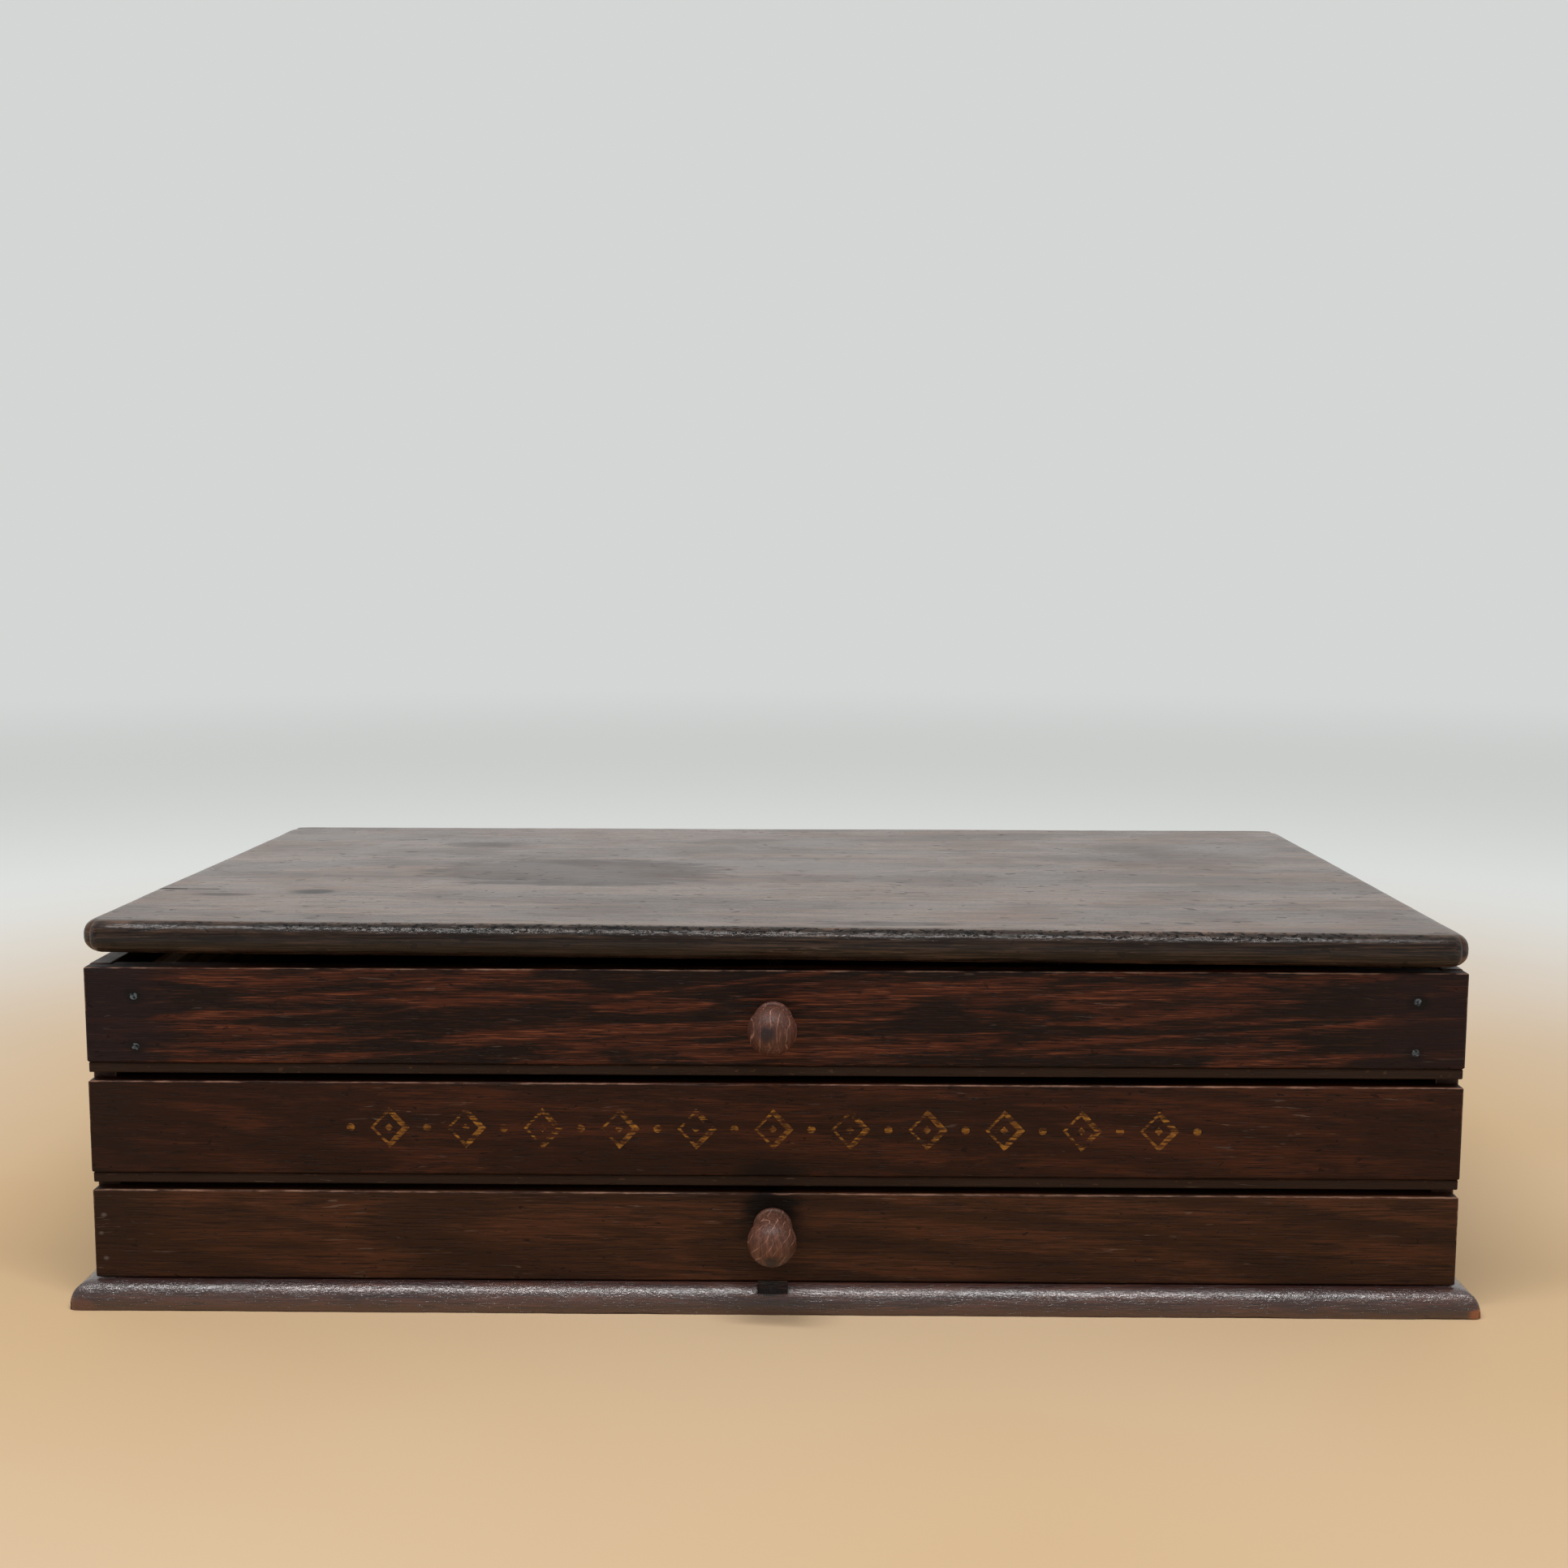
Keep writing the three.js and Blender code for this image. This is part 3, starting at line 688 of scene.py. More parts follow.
@dataclass
class Board:
    """A planed board with eased arrises, as a fine closed grid.

    Attributes:
        box: Lowest and highest corner, in metres.
        ease: Radius of the rounded arris along X, Y and Z, in millimetres; (low, high) pairs.
        step: Widest spacing of the grid, in millimetres.
        shares: Grid lines over an arris, as shares of its radius.
        wobble: How far the arrises are worn in, unevenly, in millimetres.
        seed: Picks the wear.
        square: Keeps the arrises sharp; the grid is as close over them all the same.
    """

    box: Box
    ease: tuple[tuple[float, float], ...] = ((0.5, 0.5),) * 3
    step: float = 4.0
    shares: tuple[float, ...] = (0, 0.14, 0.3, 0.5, 0.74, 1.0, 1.5, 2.4)
    wobble: float = 0.0
    seed: int = 1
    square: bool = False

    def stops(self, axis: int) -> np.ndarray:
        """Returns the grid lines across one axis, close together over each arris.

        Args:
            axis: 0, 1 or 2 for X, Y or Z.

        Returns:
            Their places, in millimetres.
        """
        low, high = self.box[0][axis] / MM, self.box[1][axis] / MM
        near, far = self.ease[axis]
        reach = (high - low) / 2
        shares = np.array(self.shares)
        left = low + shares * near
        right = high - shares * far
        left = left[left < low + reach * 0.98]
        right = right[right > high - reach * 0.98]
        count = max(1, int(math.ceil((right[-1] - left[-1]) / self.step)))
        middle = np.linspace(left[-1], right[-1], count + 1)[1:-1]
        return np.concatenate([left, middle, right[::-1]])

    def points(self) -> tuple[np.ndarray, np.ndarray]:
        """Lays the grid over the surface of the box, in millimetres.

        Returns:
            The points and the quads.
        """
        lines = [self.stops(axis) for axis in range(3)]
        shape = tuple(len(line) for line in lines)
        index = np.indices(shape)
        skin = np.zeros(shape, bool)
        for axis in range(3):
            skin |= (index[axis] == 0) | (index[axis] == shape[axis] - 1)
        number = np.full(shape, -1)
        number[skin] = np.arange(skin.sum())
        where = np.stack([lines[axis][index[axis][skin]] for axis in range(3)], axis=1)
        quads = []
        for axis in range(3):
            u, v = (axis + 1) % 3, (axis + 2) % 3
            for end, flip in ((0, True), (shape[axis] - 1, False)):
                sheet = np.take(number, end, axis=axis)
                if u > v:
                    sheet = sheet.T
                corners = [sheet[:-1, :-1], sheet[1:, :-1], sheet[1:, 1:], sheet[:-1, 1:]]
                if flip:
                    corners.reverse()
                quads.append(np.stack([c.ravel() for c in corners], axis=1))
        return where, np.concatenate(quads)

    def rounded(self, where: np.ndarray) -> np.ndarray:
        """Pulls the points near each arris onto its round, worn in unevenly along its length.

        Args:
            where: The points, in millimetres.

        Returns:
            The moved points.
        """
        low = np.array(self.box[0]) / MM
        high = np.array(self.box[1]) / MM
        near = np.array([pair[0] for pair in self.ease])
        far = np.array([pair[1] for pair in self.ease])
        core = np.clip(where, low + near, high - far)
        away = where - core
        radius = np.where(away < 0, near, far)
        unit = away / np.maximum(radius, 1e-6)
        length = np.linalg.norm(unit, axis=1)
        corner = np.sort(np.abs(unit), axis=1)[:, 1]
        shrink = np.where(length > 1e-9, np.max(np.abs(unit), axis=1) / np.maximum(length, 1e-9), 1.0)
        worn = 1 - corner * self.wobble * uneven(where, self.seed) / np.maximum(radius.max(axis=1), 1e-6)
        return core + away * shrink[:, None] * worn[:, None]

    def build(
        self, name: str, reshape: Optional[Callable[[np.ndarray], np.ndarray]] = None
    ) -> bpy.types.Mesh:
        """Builds the board's mesh.

        Args:
            name: The mesh's name.
            reshape: Moves the finished points, given and returned in millimetres.

        Returns:
            The mesh, in metres.
        """
        where, quads = self.points()
        placed = where if self.square else self.rounded(where)
        if reshape:
            placed = reshape(placed)
        mesh = bpy.data.meshes.new(name)
        mesh.from_pydata((placed * MM).tolist(), [], quads.tolist())
        mesh.update()
        return mesh


def rounded_plan(
    where: np.ndarray, low: np.ndarray, high: np.ndarray, front_mm: float, back_mm: float
) -> np.ndarray:
    """Rounds the corners of a board that lies flat, seen from above.

    Args:
        where: Its points, in millimetres.
        low: Its lowest corner.
        high: Its highest corner.
        front_mm: Radius of the front corners, or 0.
        back_mm: Radius of the back corners, or 0.

    Returns:
        The moved points.
    """
    out = where.copy()
    middle = (low[0] + high[0]) / 2
    for sign in (-1, 1):
        for radius, edge_y, inward in ((front_mm, low[1], 1.0), (back_mm, high[1], -1.0)):
            centre = np.array([middle + sign * ((high[0] - low[0]) / 2 - radius), edge_y + inward * radius])
            offset = out[:, :2] - centre
            inside = (offset[:, 0] * sign > 0) & (offset[:, 1] * inward < 0) & (radius > 0)
            size = np.linalg.norm(offset, axis=1)
            square = np.max(np.abs(offset), axis=1)
            shrink = np.where(inside, square / np.maximum(size, 1e-6), 1.0)
            out[:, :2] = centre + offset * shrink[:, None]
    return out


def uneven(where: np.ndarray, seed: int) -> np.ndarray:
    """Returns gentle unevenness from 0 to 1 at each point, the same on every run.

    Args:
        where: The points, in millimetres.
        seed: Picks the unevenness.

    Returns:
        A value from 0 to 1 for each point.
    """
    dice = np.random.default_rng(seed)
    total = np.zeros(len(where))
    for length in (70.0, 33.0, 17.0, 9.0, 5.0):
        turn = dice.normal(size=3)
        turn *= 2 * math.pi / length / np.linalg.norm(turn)
        total += np.sin(where @ turn + dice.uniform(0, 6.28)) * (length / 70.0) ** 0.35
    return np.clip(0.5 + total / 5.0, 0.0, 1.0)


def box_mesh(name: str, boxes: Sequence[Box]) -> bpy.types.Mesh:
    """Returns one mesh of plain boxes, for cutting with.

    Args:
        name: The mesh's name.
        boxes: The boxes, in metres.

    Returns:
        The mesh.
    """
    work = bmesh.new()
    for low, high in boxes:
        size = high - low
        matrix = Matrix.Translation((low + high) / 2) @ Matrix.Diagonal((*size, 1.0))
        bmesh.ops.create_cube(work, size=1.0, matrix=matrix)
    mesh = bpy.data.meshes.new(name)
    work.to_mesh(mesh)
    work.free()
    return mesh


def plain_object(name: str, mesh: bpy.types.Mesh) -> bpy.types.Object:
    """Links a new object that shows a mesh.

    Args:
        name: The object's name.
        mesh: Its mesh.

    Returns:
        The object.
    """
    made = bpy.data.objects.new(name, mesh)
    bpy.context.scene.collection.objects.link(made)
    return made


def evaluated_mesh(source: bpy.types.Object) -> bpy.types.Mesh:
    """Returns an object's mesh with its modifiers carried out.

    Args:
        source: The object.

    Returns:
        A new mesh.
    """
    graph = bpy.context.evaluated_depsgraph_get()
    graph.update()
    return bpy.data.meshes.new_from_object(source.evaluated_get(graph))


def carved(mesh: bpy.types.Mesh, boxes: Sequence[Box]) -> bpy.types.Mesh:
    """Cuts boxes out of a mesh.

    Args:
        mesh: The closed mesh to cut.
        boxes: The cuts, in metres.

    Returns:
        The cut mesh.
    """
    if not boxes:
        return mesh
    board = plain_object("work_board", mesh)
    tool = plain_object("work_cut", box_mesh("work_cut", boxes))
    cut = board.modifiers.new("cut", "BOOLEAN")
    cut.operation = "DIFFERENCE"
    cut.solver = "EXACT"
    cut.object = tool
    result = evaluated_mesh(board)
    for scrap in (board, tool):
        bpy.data.objects.remove(scrap)
    result.name = mesh.name
    return result


def mark_arris(mesh: bpy.types.Mesh, box: Box, reach_mm: float, under: float = 0.45) -> None:
    """Stores how close each point lies to an arris of its board, 1 on it and 0 far from it.

    Args:
        mesh: The board's mesh.
        box: The board's box before its arrises were eased, in metres.
        reach_mm: Distance over which the value falls off.
        under: Share of it that is kept on the lower arrises: painted shade, as they face down.
    """
    count = len(mesh.vertices)
    flat = np.empty(count * 3)
    mesh.vertices.foreach_get("co", flat)
    where = flat.reshape(-1, 3) / MM
    low, high = np.array(box[0]) / MM, np.array(box[1]) / MM
    gaps = np.minimum(np.abs(where - low), np.abs(high - where))
    second = np.sort(gaps, axis=1)[:, 1]
    shaded_low_half = where[:, 2] < (low[2] + high[2]) / 2
    # Painted shade: the lower arrises keep less of the pale rubbed colour than the top ones.
    value = (np.exp(-second / reach_mm) * np.where(shaded_low_half, under, 1.0)).astype(np.float32)
    layer = mesh.attributes.new("arris", "FLOAT", "POINT")
    layer.data.foreach_set("value", value)


def smooth(mesh: bpy.types.Mesh, sharp_degrees: float = 38.0) -> None:
    """Shades a mesh smooth, except across edges sharper than an angle."""
    mesh.shade_smooth()
    mesh.set_sharp_from_angle(angle=math.radians(sharp_degrees))


def dressed_copy(node: str, ease_mm: float = 0.0) -> bpy.types.Mesh:
    """Copies a frame node, joins its loose triangles and eases its edges.

    Args:
        node: The frame node.
        ease_mm: Width of the eased edge, or 0 to leave the edges as they are.

    Returns:
        The copy's mesh.
    """
    work = bmesh.new()
    work.from_mesh(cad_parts[node].data)
    bmesh.ops.remove_doubles(work, verts=work.verts, dist=0.01 * MM)
    bmesh.ops.dissolve_limit(
        work, angle_limit=math.radians(1.0), verts=work.verts, edges=work.edges,
        use_dissolve_boundaries=False,
    )
    if ease_mm:
        bend = math.radians(40)
        sharp = [e for e in work.edges if len(e.link_faces) == 2 and e.calc_face_angle(0) > bend]
        bmesh.ops.bevel(
            work, geom=sharp, offset=ease_mm * MM, segments=2, profile=0.6, affect="EDGES",
            clamp_overlap=True,
        )
    mesh = bpy.data.meshes.new(node + "_mesh")
    work.to_mesh(mesh)
    work.free()
    return mesh


def turned_mesh(
    name: str, profile: Sequence[tuple[float, float]], sides: int, origin: Vector
) -> bpy.types.Mesh:
    """Turns a profile about an axis that points to the front.

    Args:
        name: The mesh's name.
        profile: Radius and distance in front of the origin, in millimetres, from axis to axis.
        sides: Number of sides.
        origin: The axis's start, in metres.

    Returns:
        The closed mesh.
    """
    work = bmesh.new()
    rings = []
    for radius, out in profile:
        if radius < 1e-6:
            rings.append([work.verts.new(origin + mm(0, -out, 0))])
            continue
        ring = []
        for i in range(sides):
            angle = 2 * math.pi * i / sides
            place = mm(radius * math.cos(angle), -out, radius * math.sin(angle))
            ring.append(work.verts.new(origin + place))
        rings.append(ring)
    for first, second in zip(rings, rings[1:]):
        for i in range(sides):
            a, b = first[i % len(first)], first[(i + 1) % len(first)]
            c, d = second[(i + 1) % len(second)], second[i % len(second)]
            corners = list(dict.fromkeys([a, b, c, d]))
            work.faces.new(corners)
    bmesh.ops.recalc_face_normals(work, faces=work.faces)
    mesh = bpy.data.meshes.new(name)
    work.to_mesh(mesh)
    work.free()
    return mesh


def add_piece(
    name: str, mesh: bpy.types.Mesh, body: str, nodes: Sequence[str], finish: Finish
) -> bpy.types.Object:
    """Shows a mesh as a finished piece that stands for frame nodes.

    Args:
        name: The piece's name.
        mesh: Its mesh, in place.
        body: The body that it moves with.
        nodes: The frame nodes that it stands for.
        finish: Its finish.

    Returns:
        The piece.
    """
    mesh.materials.clear()
    mesh.materials.append(material_of(finish))
    smooth(mesh)
    piece = plain_object(name, mesh)
    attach(piece, body)
    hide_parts(*nodes)
    LOG.info("%s: %d faces, moves with %s", name, len(mesh.polygons), body)
    return piece


# ---- the cabinet's finishes ---------------------------------------------------------------

# Old oak boards, planed, stained nearly black-brown, their varnish dried out and matt. The figure
# glows red-brown between near-black sweeps, and the arrises are rubbed pale, with painted
# highlight on the top ones.
TOP_FRONT = WoodFinish(
    name="oak_planed_stained_red", wood="#4c2516", late="#190c08", warm="#74412b", pore="#0e0605",
    worn="#9a7764", heart=(60.0, -92.0, 116.0), lean=(0.0, -2.0, 3.0), rings=0.6, flecks=0.85,
    figure_mm=(80.0, 6.0), fleck_mm=(12.0, 0.38), pore_mm=(11.0, 0.34), pores=0.8,
    relief_mm=0.16, scuffs=0.18,
    stains_and_shade=(
        StainAndShade((-214, 0, 96), (32, 30, 48), "#201416", 0.85, 0.5),
        StainAndShade((214, 0, 90), (38, 30, 40), "#221312", 0.7, 0.5),
        StainAndShade((-198.5, 0, 99), (4, 4, 3.4), "#0a0808", 0.7),
        StainAndShade((198.5, 0, 99), (5, 4, 3.6), "#0a0808", 0.7),
        StainAndShade((-198.5, 0, 83), (4, 4, 3.0), "#0a0808", 0.6),
        StainAndShade((198.5, 0, 83), (4, 4, 3.0), "#0a0808", 0.6),
    ),
    seed=3.3,
)
MIDDLE_FRONT = WoodFinish(
    name="oak_planed_stained_umber", wood="#402012", late="#251209", warm="#5e301c", pore="#160a06",
    worn="#8f6a58", heart=(120.0, -98.0, 36.0), lean=(0.0, 3.2, 5.0), ring_mm=(80.0, 10.0), rings=0.7,
    flecks=0.4, figure=0.8, pores=0.7, pore_mm=(11.0, 0.34),
    stains_and_shade=(
        StainAndShade((-214, 0, 44), (30, 30, 40), "#221510", 0.6),
        StainAndShade((-213, 0, 39), (9, 12, 6), "#0e0a09", 0.8),
        StainAndShade((0, 0, 43.5), (15, 12, 4.5), "#0f0908", 0.75),
    ),
    gilt=GiltBand(height=57.6),
    seed=9.1,
)
BOTTOM_FRONT = WoodFinish(
    name="oak_planed_stained_brown", wood="#4a2b1b", late="#2c1a10", warm="#66402a", pore="#1b0f09",
    worn="#92705e", heart=(140.0, -96.0, 6.0), lean=(0.0, 4.2, 6.5), ring_mm=(90.0, 12.0), rings=0.75,
    flecks=0.35, figure=0.6, figure_mm=(120.0, 10.0), pores=0.6, pore_mm=(11.0, 0.34),
    stains_and_shade=(
        StainAndShade((0, 0, 32.5), (11, 12, 6.5), "#0a0605", 0.95, 0.5),
        StainAndShade((0, 0, 27), (14, 12, 12), "#160d0a", 0.75, 0.6),
        StainAndShade((-214, 0, 22), (22, 20, 30), "#2a1a12", 0.5),
        StainAndShade((-210.7, 0, 28.7), (1.3, 3, 1.0), "#655c58", 0.7, 0.7),
        StainAndShade((-211.7, 0, 22.8), (1.2, 3, 0.9), "#655c58", 0.6, 0.7),
        StainAndShade((-210.5, 0, 14.6), (1.3, 3, 1.0), "#655c58", 0.7, 0.7),
    ),
    seed=14.7,
)
# The lid is the same oak, rubbed with wax: a grey sheen at a low angle, dents, a dark tide mark.
LID = WoodFinish(
    name="oak_planed_waxed_lid", wood="#6b5040", late="#433127", warm="#7c5c4b", pore="#130c0a",
    worn="#4a3429", heart=(-80.0, 20.0, 90.0), lean=(0.0, 1.0, 1.5), ring_mm=(120.0, 8.0),
    figure_mm=(150.0, 18.0), fleck_mm=(26.0, 2.2), pore_mm=(16.0, 2.0), figure=0.8, rings=0.45,
    flecks=0.35, pores=0.45, wear=0.5, specular=0.12, gloss=(0.2, 0.34), relief_mm=0.05,
    coat=0.32, coat_roughness=0.13, stain_and_shade_dulls=0.2, crackle_mm=0.1, scuffs=0.25,
    nick_mm=(4.4, 2.2), nick_level=0.745,
    stains_and_shade=(
        StainAndShade((-73, 109.8, 121), (62, 34, 8), "#24130f", 0.55, 0.25),
        StainAndShade((-62, 101.8, 121), (40, 18, 8), "#2a1512", 0.25, 0.6),
        StainAndShade((-76, 82, 121), (50, 6, 8), "#1c0d0b", 0.7, 0.5),
        StainAndShade((34, 9.8, 121), (30, 5, 8), "#1c100d", 0.6),
        StainAndShade((-158, 59.8, 121), (10, 7, 8), "#0d0707", 0.9),
        StainAndShade((-186, 52, 121), (14, 4, 8), "#1c100d", 0.7),
        StainAndShade((-34, 128, 121), (9, 4, 8), "#2a0f0a", 0.7),
        StainAndShade((-120, 181.8, 121), (22, 12, 8), "#1c1210", 0.7),
        StainAndShade((150, 149.8, 121), (60, 34, 8), "#2b1c19", 0.35),
        # Front edge: its own dark brown, with painted shade where it turns down under the rounding.
        StainAndShade((0, -3.2, 114), (420, 6.2, 30), "#100805", 0.97, 0.3, 0.36),
        StainAndShade((-217, 119.8, 114), (5.5, 300, 30), "#100805", 0.9, 0.4, 0.3),
        StainAndShade((217, 119.8, 114), (5.5, 300, 30), "#100805", 0.9, 0.4, 0.3),
    ),
    pits=(
        StainAndShade((-60, 0.6, 121), (150, 2.4, 5), "#070404", 1.0, 0.5),
        StainAndShade((110, 0.6, 119.4), (120, 2.2, 5), "#070404", 1.0, 0.5),
    ),
    seed=21.0,
)
# The base moulding has thick, lumpy varnish that breaks up the light, worn orange on its lowest edge.
BASE = WoodFinish(
    name="oak_moulded_varnished_base", wood="#4b2d25", late="#2a1918", warm="#643c2f", pore="#150b0b",
    worn="#6e4534", rings=0.4, flecks=0.5, figure=0.7, wear=0.7, specular=0.5, gloss=(0.28, 0.42),
    coat=1.0, coat_roughness=0.09, relief_mm=0.06, crackle_mm=0.19, stain_and_shade_dulls=0.2, scuffs=0.15,
    stains_and_shade=(
        # Painted shade: darkens the inside of the thumb notch.
        StainAndShade((0, -2.0, 7.2), (6.0, 4.5, 2.4), "#0c0706", 0.97, 0.3),
        StainAndShade((0, -7.2, 0.6), (420, 12, 1.6), "#4a2c1f", 0.7, 0.6),
        StainAndShade((222, -6.2, 1), (7, 9, 3.2), "#8a4a22", 0.9, 0.4),
        StainAndShade((-219, -6.2, 1), (8, 8, 4), "#5a2f1f", 0.7, 0.4),
    ),
    seed=28.0,
)
# The sides and back had one thin coat, and look dry and even.
CARCASE = WoodFinish(
    name="oak_planed_stained_thin", wood="#4b2b1b", late="#2c1910", warm="#66402a", pore="#160d09",
    worn="#8c6a54", grain=Grain.ALONG_Y, heart=(-170.0, 0.0, 20.0), lean=(4.0, 0.0, 3.0), figure=0.8,
    ring_mm=(70.0, 6.0), specular=0.25, seed=33.0,
)
BACK = WoodFinish(
    name="oak_sawn_stained_back", wood="#5a3a28", late="#38241a", warm="#714a33", pore="#1d120c",
    worn="#85644e", heart=(30.0, 140.0, 60.0), specular=0.25, gloss=(0.5, 0.68), relief_mm=0.25, seed=38.0,
)
# Thin drawer bottoms: bare boards gone brown with age, their front edge stained with the fronts.
BOTTOM_BOARD = WoodFinish(
    name="oak_thin_board_bare", wood="#8d6b49", late="#684a2f", warm="#9c7750", pore="#4a3421",
    worn="#4d3426", gloss=(0.5, 0.68), rings=0.45, figure=0.5, flecks=0.35, pores=0.4, wear=0.5,
    specular=0.2,
    stains_and_shade=(StainAndShade((0, 0, 60), (2000, 11, 600), "#22130c", 0.985, 0.2, 0.03),),
    seed=43.0,
)
# Drawer linings were never finished: pale softwood that has toned with age and handling.
LINING = WoodFinish(
    name="pine_planed_bare", wood="#b48f62", late="#86623e", warm="#c39a68", pore="#72553a",
    worn="#c9a77c", grain=Grain.ALONG_Y, heart=(0.0, 0.0, -30.0), lean=(2.0, 0.0, 1.0),
    ring_mm=(110.0, 3.4), rings=0.6, figure=0.35, flecks=0.3, pores=0.12, specular=0.35,
    gloss=(0.58, 0.75), wear=0.3, relief_mm=0.06, scuffs=0.15, seed=47.0,
)
LINING_ACROSS = replace(
    LINING, name="pine_planed_bare_across", grain=Grain.ALONG_X, lean=(0.0, 2.0, 1.0), seed=52.0
)
# Rolled brass, tarnished: a dull brown film with yellow metal showing through in blotches.
BRASS = MetalFinish("brass_rolled_tarnished", "#b08a45", "#5a4424", 0.6, (0.3, 0.55), 2.0)
# Drawn steel screws that have darkened: grey, with a faint shine.
STEEL = MetalFinish("steel_wire_darkened", "#7d8790", "#32363b", 0.45, (0.35, 0.6), 5.0)
# Cut iron nails stained over with the fronts: nearly black, rubbed to grey on their heads.
NAIL = MetalFinish("iron_nail_stained_over", "#68727b", "#212427", 0.5, (0.4, 0.7), 8.0)


@dataclass(frozen=True)
class KnobFinish(WoodFinish):
    """A turned knob's wood, with pale rays across a leaning grain.

    Attributes:
        ray_lean: Turn of the rays about the knob's axis, in degrees.
        ray_gap: From one ray to the next, in millimetres.
        ray: Colour of the rays.
        centre: Middle of the ball, in millimetres.
    """

    ray_lean: float = 0.0
    ray_gap: float = 2.7
    ray: str = "#ab7d6a"
    centre: tuple[float, float, float] = (0.0, 0.0, 0.0)

    def _board_colour(self, shade: Shade, fibres: Term, pores: Term) -> Socket:
        """Draws the pale rays over the plain wood's colour.

        Args:
            shade: The material being built.
            fibres: The fibres' noise.
            pores: How much of a pore shows.

        Returns:
            The colour's socket.
        """
        colour = super()._board_colour(shade, fibres, pores)
        across = shade.add(
            "ShaderNodeSeparateXYZ",
            links={0: shade.spot(self.centre, (self.ray_gap,) * 3, (0.0, self.ray_lean, 0.0))},
        ).outputs[0]
        wander = shade.sum("MULTIPLY", shade.noise((5.0, 5.0, 12.0), self.seed + 61, 1.0), 1.6)
        turn = shade.sum("FRACT", shade.sum("ADD", shade.sum("ADD", across, wander), 50.0))
        line = shade.sum("ABSOLUTE", shade.sum("SUBTRACT", turn, 0.5))
        faint = shade.ramp(shade.noise((3.0, 3.0, 5.0), self.seed + 62, 2.0), 0.42, 0.66, 0.1, 0.75)
        return shade.mix(shade.sum("MULTIPLY", shade.ramp(line, 0.08, 0.02), faint), colour, self.ray)


def knob_finish(name: str, centre: Vector, lean: float, mark: StainAndShade, wood: str, seed: float) -> WoodFinish:
    """Returns the finish of one turned knob: bare close-grained wood, polished by fingers.

    Args:
        name: Material's name.
        centre: Middle of the ball, in metres.
        lean: Turn of the grain about the knob's axis, in degrees.
        mark: The dark spot on its face.
        wood: Colour of the wood.
        seed: Picks the piece of wood.

    Returns:
        The finish.
    """
    return KnobFinish(
        name=name, wood=wood, late="#3f2820", warm="#8f6350", pore="#2e1c15", worn="#a07a66",
        grain=Grain.ALONG_Z, heart=(centre.x / MM + 9, centre.y / MM, centre.z / MM), ring_mm=(30.0, 2.4),
        figure_mm=(14.0, 4.0), fleck_mm=(6.0, 0.6), pore_mm=(3.0, 0.45), figure=0.5, rings=0.35, flecks=0.4,
        pores=0.3, wear=0.0, specular=0.28, gloss=(0.36, 0.5), relief_mm=0.08, stains_and_shade=(mark,), seed=seed,
        ray_lean=lean, centre=tuple(centre / MM),
    )


# ---- sub-assemblies -----------------------------------------------------------------------


